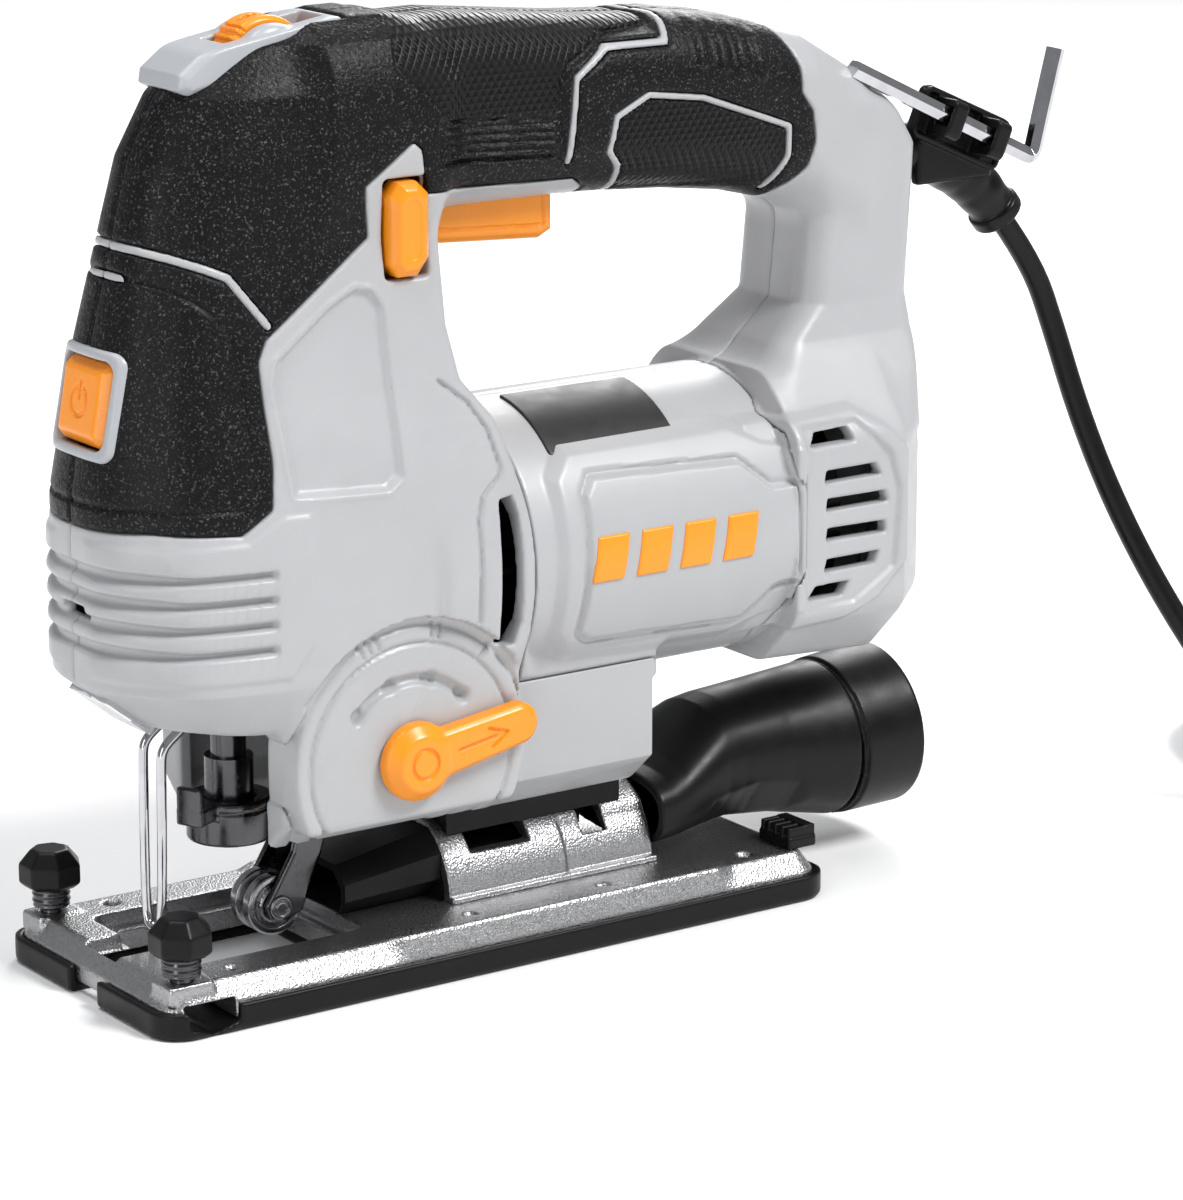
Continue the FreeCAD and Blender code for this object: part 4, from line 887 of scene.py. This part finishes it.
SADDLE = [
    (24, 200), (27, 198.5), (68, 204), (69, 211.6), (60, 213.9), (40.5, 213.2), (31.5, 208.4),
    (24.6, 203.2)]
DIAL_AXIS, DIAL_R = (49, 202.6), 11.2
DIGITS = [[(0, -1.5), (0, 1.5)],        # strokes of the figures 1 to 6, across and up
          [(-0.8, 1.1), (0, 1.5), (0.8, 0.9), (-0.8, -1.5), (0.9, -1.5)],
          [(-0.8, 1.4), (0.8, 1.4), (0, 0.2), (0.8, -0.7), (0, -1.5), (-0.8, -1.2)],
          [(0.4, -1.5), (0.4, 1.5), (-0.9, -0.6), (0.9, -0.6)],
          [(0.8, 1.5), (-0.7, 1.5), (-0.8, 0.2), (0.4, 0.3), (0.8, -0.6), (0.2, -1.5), (-0.8, -1.3)],
          [(0.6, 1.5), (-0.6, 0.4), (-0.8, -0.8), (0, -1.5), (0.8, -0.8), (0.2, 0), (-0.7, -0.3)]]


def saddle_top(x):
    """Height of the dial's plate, which falls away to the front."""
    return 213.2 - 0.17 * maximum(0, 64 - x)


def dial_bezel_form(g):
    side = area_distance(SADDLE, g.x, g.z)
    saddle = bevelled(side, g.w - 9.8, 1.6, 0.6)
    saddle = smax(saddle, g.z - saddle_top(g.x), 0.8)
    cheeks = tube_y(g, *DIAL_AXIS, DIAL_R - 1.5) + 0.12 * maximum(0, g.w - 6) ** 2
    saddle = smin(saddle, smax(cheeks, g.w - 8.6, 1.2), 0.8)
    saddle = cut(saddle, smax(ring(g.x - 50.4, g.y, 12.4, 4.8, 0.8), 190 - g.z, 0.5), 0.5)
    return smax(saddle, -(housing_form(g) + 6.5), 0.3)


def dial_form(g):
    """Wheel with ribs all round apart from the stretch that has the figures."""
    dx, dz = g.x - DIAL_AXIS[0], g.z - DIAL_AXIS[1]
    angle, r = np.arctan2(dz, dx), hypot(dx, dz)
    side_rib = 0.75 * clip(0.5 + 0.9 * np.cos(angle * 32), 0, 1)
    plain = np.broadcast_to(abs(np.degrees(angle) - 77) < 46, (g.shape[0], 1, g.shape[2]))
    radius = DIAL_R - 0.05 - np.where(plain, 0.1, side_rib)
    wheel = bevelled(r - radius, g.w - 4.3, 0.9, 0.3)
    for k, digit in enumerate(DIGITS):
        along = DIAL_R * (angle - radians(38 + 14 * k))
        mark = line_distance([(v, u) for u, v in digit], along, g.y) - 0.3
        wheel = cut(wheel, maximum(mark, DIAL_R - 0.75 - r), 0.1)
    return cut(wheel, r - 2.05, 0.1)


TRIGGER_SIDE = [
    (86.5, 161.8), (88.5, 160.4), (117, 158.8), (120.6, 160.6), (120.6, 174), (79.5, 174), (78.6, 169),
    (81, 167)]


def trigger_form(g):
    side = area_distance(TRIGGER_SIDE, g.x, g.z)
    body = bevelled(side, g.w - 9, 1.8, 1)
    body = cut(body, maximum(abs(side + 3.4) - 0.35, 8.5 - g.w), 0.3)
    top = flat_plate(smax(abs(g.x - 101.5) - 17.5, g.w - 7, 0.5), g.z, 172, 177, 0.4)
    return cut(minimum(body, top), tube_y(g, 82, 171, 1.55), 0.1)


LOCK_SIDE = [
    (67, 160.5), (69, 157.6), (74, 157.6), (77, 161.5), (77, 175.5), (74, 178.4), (69.5, 178.4), (67, 175)]


def lock_button_form(g):
    side = area_distance(LOCK_SIDE, g.x, g.z)
    face = bevelled(side, -25.8 - g.y, 1.9, 0.5)
    face = smax(face, g.y + 19, 0.5)
    hollow = hypot(maximum(abs(g.z - 168) - 4.5, 0), g.x - 72) - 1.9
    face = cut(face, maximum(hollow, g.y + 25.5), 0.5)
    return minimum(face, block(g, 70, 74, -20, -13.5, 164, 171, 0.5))


def selector_form(g):
    """Lever with a ring and an arrow sunk in its face, and its shaft with a flat for the cam."""
    dx, dz, length, under = g.x - SELECTOR[0], g.z - SELECTOR[1], 26.5, 31.9
    u, v = turned(dx, dz, 10)
    r = hypot(dx, dz)
    t = clip(u / length, 0, 1)
    arm = hypot(u - length * t, v) - (5.7 - 0.9 * t)
    arm = smax(bevelled(arm, -36.2 - g.y, 1.3, 0.4), g.y + under, 0.4)
    hub = r - 9 + 0.06 * maximum(-32 - g.y, 0)
    hub = smax(bevelled(hub, -36.85 - g.y, 2.6, 0.5), g.y + under, 0.4)
    marks = minimum(abs(r - 3.3) - 0.4, line_distance([(9.5, 0), (21.5, 0)], u, v) - 0.35)
    marks = minimum(marks, line_distance([(17.8, 2.2), (22.4, 0), (17.8, -2.2)], u, v) - 0.35)
    lever = cut(smin(arm, hub, 0.9), maximum(marks, g.y + np.where(r < 6, 36.3, 35.6)), 0.15)
    shaft = flat_plate(r - 4, g.y, -32.5, -9.5, 0.3)
    return minimum(lever, maximum(shaft, np.where(g.y > -16, -2.2 - dx, -99)))


def badge_form(g):
    """Four slanted bars that follow the barrel."""
    skin = tube_x(g, 0, SHAFT_Z, BARREL_R) - housing_relief(g.x, g.z, False)
    outlines = [[(x, 85.8), (x + 8.6, 85.8), (x + 10.6, 96.2), (x + 2, 96.2)]
                for x in (111.5, 123.5, 135.5, 147.5)]
    bars = reduce(minimum, [area_distance(outline, g.x, g.z) for outline in outlines])
    return smax(bevelled(bars, skin - 0.55, 0.35, 0.2), -(skin + 0.5), 0.1)


TUBE = [                   # x, middle z, half-width, half-height, squareness
    (142.4, 21.4, 20.5, 8.6, 3), (147, 21.9, 20.2, 8.9, 2.9), (151, 22.8, 19.6, 10, 2.7),
    (165, 27.2, 16.9, 14.3, 2.3), (170, 27.8, 16.6, 14.8, 2.2), (184, 27.6, 17, 16.2, 2.1),
    (202.9, 26.4, 19, 19, 2)]


def oval(g, wall):
    """Distance to the dust tube's section, less a wall."""
    middle, half_y, half_z, power = (rows(TUBE, g.x, k) for k in (1, 2, 3, 4))
    half_y, half_z = half_y - wall, half_z - wall
    size = ((g.w / half_y) ** power + (abs(g.z - middle) / half_z) ** power) ** (1 / power)
    return (size - 1) * minimum(half_y, half_z)


def dust_tube_form(g):
    outside = oval(g, 0)
    middle = rows(TUBE, g.x, 1)
    reach = np.interp(g.x, (150, 160, 174, 186, 199), (21, 16.2, 15.2, 16.2, 21)).astype(f32)
    outside = smax(outside, 0.80 * g.w - 0.60 * (g.z - middle) - reach, 0.3)
    ends = maximum(142.4 - g.x, g.x - 202.8)
    return smax(smax(outside, ends, 0.4), -oval(g, 2), 0.3)


def adapter_form(g):
    along, off = turned(g.x - 203.2, g.z - 26.4, 3.5)
    r = hypot(g.y, off)
    body = smax(r - 19.4 - 0.033 * along, abs(along - 9) - 9, 0.9)
    body = cut(body, smax(abs(along - 1) - 0.45, 18.7 - r, 0.2), 0.2)
    return cut(body, r - 17.5, 0.3)


SOLE_HALF = (90.2, 37)     # half its length and width
KNOB_X, KNOB_Y = 8.5, 29.1


def sole_outline(g, inset, corner):
    return ring(g.x - SOLE_HALF[0], g.y, SOLE_HALF[0] - inset, SOLE_HALF[1] - inset, corner)


def sole_cover_form(g):
    outside = bevelled(sole_outline(g, 0, 8), -g.z, 0.9, 0.4)
    tray = smax(outside, g.z - 6.2, 0.5)
    tray = cut(tray, smax(sole_outline(g, 1.8, 6.4), 2.4 - g.z, 0.2), 0.3)
    well = minimum(ring(g.x - 37, g.y, 21, 17.5, 2), maximum(g.w - 6, g.x - 17))
    tray = cut(tray, well, 0.5)
    tray = cut(tray, abs(g.x - 12.3) - 6.3 + maximum(2.7 - g.z, 0) * 3, 0.3)
    return cut(tray, tube_z(g, BEVEL_BOLT_X, 0, 5), 0.3)


def sole_plate_form(g):
    """Cast plate: sloping rim that widens along the middle, bosses, blade opening and holes."""
    edge = sole_outline(g, 2, 6.2)
    wide = clip(minimum(g.x - 58, 154 - g.x) / 5, 0, 1)
    slope = 0.72 - 0.42 * wide
    top = 11.1 + 0.75 * wide * (g.w > 28.6)
    rim = smax(edge, (edge + slope * (g.z - 6.4)) / np.sqrt(1 + slope ** 2), 0.3)
    plate = smax(smax(rim, g.z - top, 0.7), 2.4 - g.z, 0.2)
    boss = smax(abs(g.w - KNOB_Y) - 4.4, abs(g.x - 8.7) - 5.6, 1)
    plate = smin(plate, bevelled(flat_plate(boss, g.z, 7.3, 11.9, 0.3), g.z - 11.9, 0.7, 0.4), 0.8)
    flare = np.where(g.z > 7.4, 2.4, 0) + clip(g.z - 9, 0, 2) * 0.4
    well = ring(g.x - 37, g.y, 21 + flare * 0.8, 17.5 + flare, 3)
    plate = cut(plate, well, 0.5)
    plate = cut(plate, maximum(g.w - 6 - flare * 0.3, maximum(g.x - 17, 5 - g.x)), 0.4)
    plate = cut(plate, smax(abs(g.x - 12.3) - 6.3, abs(g.z - 4.9) - 2.3, 0.2), 0.3)
    plate = cut(plate, tube_z(g, BEVEL_BOLT_X, 0, 5), 0.4)
    for x in (22.5, 84.7, 121.3, 161.5):
        hole = hypot(g.x - x, g.w - 26.9) - 1.4 - clip(g.z - 10.2, 0, 2) * 0.9
        plate = cut(plate, hole, 0.2)
    return cut(plate, hypot(g.x - KNOB_X, g.w - KNOB_Y) - 2.55, 0.1)


def bracket_form(g):
    """Arch of the bevel joint with its front flange, window and slot."""
    r = tube_x(g, 0, 11.5, 0)
    outer = 18 - 0.8 * clip(g.x - 117, 0, 1) * clip(g.w - 12.6, 0, 1)
    arch = smax(smax(r - outer, 15 - r, 0.4), abs(g.x - 113.5) - 28.5, 0.5)
    foot = smax(block(g, 85, 142, -19.3, 19.3, 10.9, 12.5, 0.5), 15.5 - g.w, 0.4)
    arch = smax(smin(arch, foot, 0.3), 11.1 - g.z, 0.2)
    turn = np.degrees(np.arctan2(g.w, g.z - 11.5))
    slot = smax(abs(g.x - BEVEL_BOLT_X) - 3.4, (turn - 61) * 0.3, 0.3)
    window = smax(abs(g.x - 100.7) - 8.2, abs(g.y + 14) - 6.5, 0.6)
    window = smax(window, abs(g.z - 24.2) - 3.2, 0.6)
    return cut(cut(arch, slot, 0.4), window, 0.4)


def knob_form(g, y):
    """Seven-sided head with chamfers above and below."""
    faces = []
    for k in range(7):
        turn = (k + 0.5) * tau / 7
        face = (g.x - KNOB_X) * cos(turn) + (g.y - y) * sin(turn) - 6.5
        face = smax(face, (face + 0.75 * (g.z - 26.2) + 2.6) / 1.25, 0.3)
        faces.append(smax(face, (face + 1.1 * (17.1 - g.z) + 1.5) / 1.49, 0.3))
    sides = reduce(lambda a, b: smax(a, b, 0.3), faces)
    return flat_plate(sides, g.z, 17, 26.2, 0.5)


def screw_form(g, y):
    r = tube_z(g, KNOB_X, y, 0)
    thread = 0.45 * abs((g.z / 1.5) % 1 - 0.5)
    stem = flat_plate(r - 2.5 + thread * 0.6, g.z, 7.6, 17.2, 0.3)
    washer = flat_plate(r - 4.4 + thread * 1.6, g.z, 12.9, 17.2, 0.3)
    return minimum(stem, washer)


def latch_form(g):
    body = block(g, 171.5, 179.5, -31, -19, 11.15, 13.8, 0.5)
    lip = block(g, 176.3, 179.5, -30.6, -19.4, 11.2, 16.4, 0.5)
    for y in (-29.9, -27.3, -24.7, -22.1, -20.1):
        lip = minimum(lip, block(g, 171.7, 179.3, y - 0.7, y + 0.7, 12.5, 16.2, 0.45))
    return smin(body, lip, 0.5)


BOOT = [                   # x, z and radius along the sleeve
        (214, 168.6, 6.2), (222, 168.5, 6.5), (229, 167.6, 6.7), (235.5, 165.6, 6.6),
        (241, 163, 6.4), (246.2, 159.6, 6.1), (250.5, 156, 5.9), (254, 152.5, 5.7)]


def boot_form(g):
    """Bent rubber sleeve with a collar where the cord leaves it."""
    parts = []
    for (xa, za, ra), (xb, zb, rb) in zip(BOOT, BOOT[1:]):
        dx, dz = xb - xa, zb - za
        t = clip(((g.x - xa) * dx + (g.z - za) * dz) / (dx * dx + dz * dz), 0, 1)
        away = np.sqrt((g.x - xa - t * dx) ** 2 + g.y ** 2 + (g.z - za - t * dz) ** 2)
        parts.append(away - (ra + t * (rb - ra)))
    bent = reduce(lambda a, b: smin(a, b, 1), parts)
    along, up = turned(g.x - ROUTE[0][0], g.z - ROUTE[0][2], -49.62)
    off = hypot(g.y, up)
    collar = smax(off - 6.6, abs(along + 1.8) - 1.7, 0.5)
    sleeve = smin(smax(bent, along, 0.4), collar, 0.5)
    stub = maximum(tube_x(g, 0, 168.6, 5.4), abs(g.x - 217.5) - 4)
    sleeve = minimum(maximum(sleeve, 220.9 - g.x), stub)
    return cut(sleeve, smax(off - 3, -6 - along, 0.1), 0.3)


def clip_form(g):
    """Tilted back plate with a rim, and two hooks over the hex key."""
    u, v = turned(g.x - 226, g.z - 177, -23.835)
    face = ring(u - 13.2, v - 1.2, 14.6, 6.6, 2.4)
    back = flat_plate(face, g.y, -7.2, -5.4, 0.5)
    rim = flat_plate(abs(face + 1) - 0.7, g.y, -8.2, -6, 0.4)
    clip = minimum(back, rim)
    for at in (5.4, 20):
        arm = smax(ring(v - 1.4, g.y + 10.4, 4.6, 4.9, 1.6), abs(u - at) - 2.2, 0.5)
        clip = smin(clip, arm, 0.6)
    strap = block(g, 226, 249, -7, -4, 160, 171, 1)
    clip = minimum(clip, strap)
    key = maximum(abs(g.z - 175.12 + 0.4741 * (g.x - 234.4)) * 0.9036, abs(g.y + 12)) - 2.35
    return cut(smax(clip, g.y + 4.2, 0.3), key, 0.2)


def plug_form(g):
    x0, y0, z0 = PLUG_AT
    outline = [(-14, 4.2), (-3, 7), (9, 15.5), (13, 17.2), (20, 17.2), (20, -17.2), (13, -17.2),
               (9, -15.5), (-3, -7), (-14, -4.2)]
    side = area_distance(outline, g.x - x0, g.y - y0)
    body = bevelled(side, abs(g.z - z0) - 6.9, 2.2, 1)
    rib = abs(((g.x - x0 + 14) / 2.6) % 1 - 0.5) * 2.6 - 0.5
    return cut(body, maximum(maximum(rib, g.x - x0 + 4), -(body + 0.7)), 0.3)


def pins_form(g):
    """Two round pins with a fine ring round each."""
    x0, y0, z0 = PLUG_AT
    r = hypot(abs(g.y - y0) - 9.5, g.z - z0)
    pins = smax(r - 2.4, abs(g.x - x0 - 29.5) - 9.5, 1.1)
    return cut(pins, maximum(abs(g.x - x0 - 27.5) - 0.3, 2.2 - r), 0.1)


ROLLER_AT, ARM_PIVOT = (47.3, 14.3), (57, 57)


def arm_form(g):
    """Forked arm of the guide roller."""
    (x0, z0), (x1, z1) = ROLLER_AT, ARM_PIVOT
    cheek = [(x0 - 3.6, z0 + 0.5), (x0 - 2.4, z0 - 2.9), (x0 + 1.2, z0 - 3.9), (x0 + 6, z0 - 2), (58.5, 25),
             (61.5, 36), (61, z1 + 3), (x1 - 3.5, z1 + 3.4), (53.2, 36), (51, 26.5), (x0 - 1.5, z0 + 3.6)]
    side = area_distance(cheek, g.x, g.z)
    cheeks = smax(bevelled(side, g.w - 6.4, 0.6, 0.3), 4.6 - g.w, 0.2)
    web = smax(smax(side + 0.8, 28.5 - g.z, 0.5), g.w - 6, 0.3)
    hub = flat_plate(tube_y(g, x1, z1, 4), g.y, -8, 8, 0.4)
    arm = minimum(minimum(cheeks, web), hub)
    return cut(cut(arm, tube_y(g, x0, z0, 2), 0.1), tube_y(g, x1, z1, 2.05), 0.1)


def roller_form(g):
    r = tube_y(g, *ROLLER_AT, 0)
    radius = 7.1 - 2.2 * clip(1.5 - g.w, 0, 0.9) / 0.9
    wheel = smax(r - radius, g.w - 4.3, 0.7)
    wheel = cut(wheel, maximum(abs(r - 4.6) - 0.7, 3.9 - g.w), 0.2)
    return cut(wheel, r - 2.05, 0.1)


def axle_form(g):
    r = tube_y(g, *ROLLER_AT, 0)
    ends = smax(bevelled(r - 2.9, g.w - 7, 0.4, 0.2), 6.4 - g.w, 0.1)
    ends = cut(ends, maximum(abs(r - 1.7) - 0.2, 6.75 - g.w), 0.1)
    return minimum(ends, maximum(r - 2, g.w - 6.5))


def collar_form(g):
    """Turning ring of the blade clamp, with its finger tab."""
    r = tube_z(g, CLAMP_X, 0, 0)
    body = smax(r - 9.7, abs(g.z - 36.1) - 4.9, 0.9)
    body = cut(body, maximum(abs(g.z - 38.9) - 0.3, 9.4 - r), 0.2)
    body = cut(body, r - 6.05, 0.3)
    u, v = turned(g.x - CLAMP_X, g.y, 24)
    arm = smax(smax(abs(u + 12.1) - 3.5, abs(v) - 3.2, 0.6), abs(g.z - 39.2) - 1.7, 0.4)
    tab = smax(smax(abs(u + 14.8) - 0.85, abs(v) - 3.2, 0.5), abs(g.z - 41.8) - 4.3, 0.6)
    return smin(body, smin(arm, tab, 0.4), 0.5)


def label_form(g):
    """Thin plate bent round the barrel's upper left."""
    skin = tube_x(g, 0, SHAFT_Z, BARREL_R)
    turn = np.degrees(np.arctan2(-g.y, g.z - SHAFT_Z))
    edge = ring(g.x - 125.5, (turn - 26) * 0.6, 17.4, 11.9, 1.2)
    return smax(smax(edge, skin - 0.5, 0.2), -skin - 0.4, 0.1)


SMALL = [                  # piece, form, low and high corner, grid step, body, slot, CAD node
    ("light_cap", light_button_form, (-1, -11, 122), (16, 11, 147),
     0.22, "light_button", "control_orange", "light_button"),
    ("button_frame", button_bezel_form, (-0.5, -14, 119), (16, 14, 150),
     0.3, "housing", "bezel_grey", "control_bezels"),
    ("dial_saddle", dial_bezel_form, (22, -11, 196), (71, 11, 213.9),
     0.35, "housing", "bezel_grey", "control_bezels"),
    ("dial_wheel", dial_form, (37, -5, 190.5), (61, 5, 214.5),
     0.17, "speed_dial", "control_orange", "speed_dial"),
    ("trigger_blade", trigger_form, (77, -10, 157), (122, 10, 178),
     0.35, "trigger", "control_orange", "trigger"),
    ("lock_pad", lock_button_form, (65, -27, 156), (79, -12, 180),
     0.28, "lock_button", "control_orange", "lock_button"),
    ("orbit_lever", selector_form, (56, -37.4, 41), (99, -8, 64),
     0.25, "selector", "control_orange", "orbit_selector"),
    ("dust_sleeve", dust_tube_form, (141, -22, 5), (204.5, 22, 47.5),
     0.5, "dust_tube", "black_plastic", "dust_tube"),
    ("hose_end", adapter_form, (201, -21, 4), (224, 21, 48.5),
     0.4, "dust_tube", "black_plastic", "dust_adapter"),
    ("base_cover", sole_cover_form, (-0.6, -37.6, -0.5), (181, 37.6, 6.8),
     0.5, "sole", "black_plastic", "sole_cover"),
    ("base_plate", sole_plate_form, (1, -36, 1.9), (179.5, 36, 12.6),
     0.45, "sole", "sole_cast", "sole_plate"),
    ("bevel_arch", bracket_form, (84, -20.5, 10.5), (143, 20.5, 30),
     0.35, "sole", "sole_cast", "bevel_bracket"),
    ("cover_latch", latch_form, (170.5, -32, 10.5), (180.4, -18, 17.2),
     0.25, "sole", "black_plastic", "sole_latch"),
    ("cord_boot", boot_form, (211, -8, 141), (264, 8, 177), 0.4, "housing", "cord_rubber", "strain_relief"),
    ("key_holder", clip_form, (221, -17.5, 155), (257, -3.5, 188),
     0.35, "housing", "black_plastic", "key_clip"),
    ("roller_fork", arm_form, (42, -8.6, 9.5), (63, 8.6, 62),
     0.3, "roller_arm", "dark_steel", "roller_arm"),
    ("back_roller", roller_form, (39.5, -5, 6.5), (55, 5, 22),
     0.22, "roller", "bright_steel", "guide_roller"),
    ("roller_pin", axle_form, (43.5, -7.6, 10.5), (51, 7.6, 18),
     0.2, "roller_arm", "bright_steel", "roller_axle"),
    ("clamp_collar", collar_form, (21, -14, 30.5), (49, 11, 47),
     0.27, "clamp_lever", "dark_steel", "clamp_lever"),
    ("label_plate", label_form, (107, -34, 100), (144, 3, 124.5),
     0.35, "housing", "label_black", "rating_label"),
    ("plug_body", plug_form, (350, -68, 10.5), (388, -30.5, 26.3), 0.45, "housing", "cord_rubber", "plug"),
    ("plug_prongs", pins_form, (385, -63, 15.5), (406, -35.5, 21.3), 0.3, "housing", "chrome", "plug_pins")]


GUARD = [                  # left half of the wire, down to its lowest point
    (27, -4, 64), (26.2, -4, 62.2), (25.2, -4, 60.4), (23.8, -4, 58.8), (20.4, -4, 56.4), (19.1, -4, 54.4),
    (18.9, -4, 51.5), (18.7, -3.9, 32), (18.5, -3.5, 18.5), (18.3, -2.5, 13.8), (18.3, 0, 13)]
KEY = [
    (202, -12, 190.6), (226, -12, 179.2), (251.6, -12, 167.1), (256.8, -12, 164.7), (258.3, -12, 170.4),
    (260.6, -12, 179.4), (263.6, -12, 190.4)]


def one_side(sign, x0, x1, near, far, z0, z1, step):
    """A grid to the left (sign -1) or right (sign 1) of the tool's middle plane."""
    y0, y1 = sorted((sign * near, sign * far))
    return Grid((x0, y0, z0), (x1, y1, z1), step)


def build_small():
    for name, form, low, high, step, body, slot_name, cad_node in SMALL:
        g = Grid(low, high, step)
        keep = 0.42 if name.startswith("base_") else 1      # the two large flat pieces
        add_solid(name, form(g), g, body, slot_name, [cad_node], keep)
    for side, sign in (("left", -1), ("right", 1)):
        knob, y = "knob_" + side, sign * KNOB_Y
        g = one_side(sign, 0.5, 16.5, 21, 37, 15.5, 29.2, 0.3)
        add_solid(knob, knob_form(g, y), g, knob, "black_plastic", ["fence_" + knob])
        g = one_side(sign, 3, 14, 23.5, 35, 7, 18, 0.22)
        add_solid("knob_screw_" + side, screw_form(g, y), g, knob, "dark_steel", ["fence_" + knob])
        g = one_side(sign, 110, 160, 29, 37.2, 84, 98, 0.3)
        add_solid("badge_" + side, badge_form(g), g, "housing", "badge_orange", ["side_badge"])
    for k, (x, z) in enumerate(CASE_SCREWS):
        y = side_height(x, z)
        g = Grid((x - 3.8, y - 4.2, z - 3.8), (x + 3.8, y, z + 3.8), 0.2)
        add_solid(f"case_screw_{k + 1}", case_screw_form(g, x, y, z), g, "housing", "dark_steel",
                  ["housing_screws"])
    bow = GUARD + [(x, -y, z) for x, y, z in GUARD[-2::-1]]
    assign(curve_object("guard_bow", bow, 1.1, 10, 4, "chrome"), "housing", ["guard_wire"])
    assign(curve_object("key_bar", KEY, 2.25, 10, 1, "chrome"), "hex_key", ["hex_key"])


# ---- building -----------------------------------------------------------------------------
def in_knurl(middles):
    """Faces of the two diamond-patterned grip zones."""
    x, z = middles[:, 0], middles[:, 2]
    palm = area_distance(PALM, x, z) < -1.2
    thumb = (area_distance(THUMB, x, z) < -0.2) & (z > 190.6 - 0.045 * (x - 83))
    return palm | thumb


def build_housing():
    for side, left in (("left", True), ("right", False)):
        low, high = (-37.5, 0.9) if left else (-0.9, 37.5)
        g = Grid((-1.2, low, 31), (223, high, 213.6), 0.6 if left else 0.8)
        hard, tube, skin = shell_fields(g, left)
        add_solid("shell_" + side, hard, g, "housing", "housing_grey", ["housing_" + side],
                  0.34 if left else 0.6)
        add_solid("cover_" + side, skin, g, "housing", "grip_rubber", ["grip_" + side],
                  choose=in_knurl, more=[MATERIALS["grip_knurl"]])
        add_solid("barrel_" + side, tube, g, "housing", "barrel_grey", ["motor_barrel"])


make_materials()
paint_frame()
build_housing()
build_small()
cord = curve_object("mains_cord", ROUTE + coil_points(), CORD_R, 6, 5, "cord_rubber")
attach(cord, "housing")
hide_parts("cord_tube", "cord_coil")
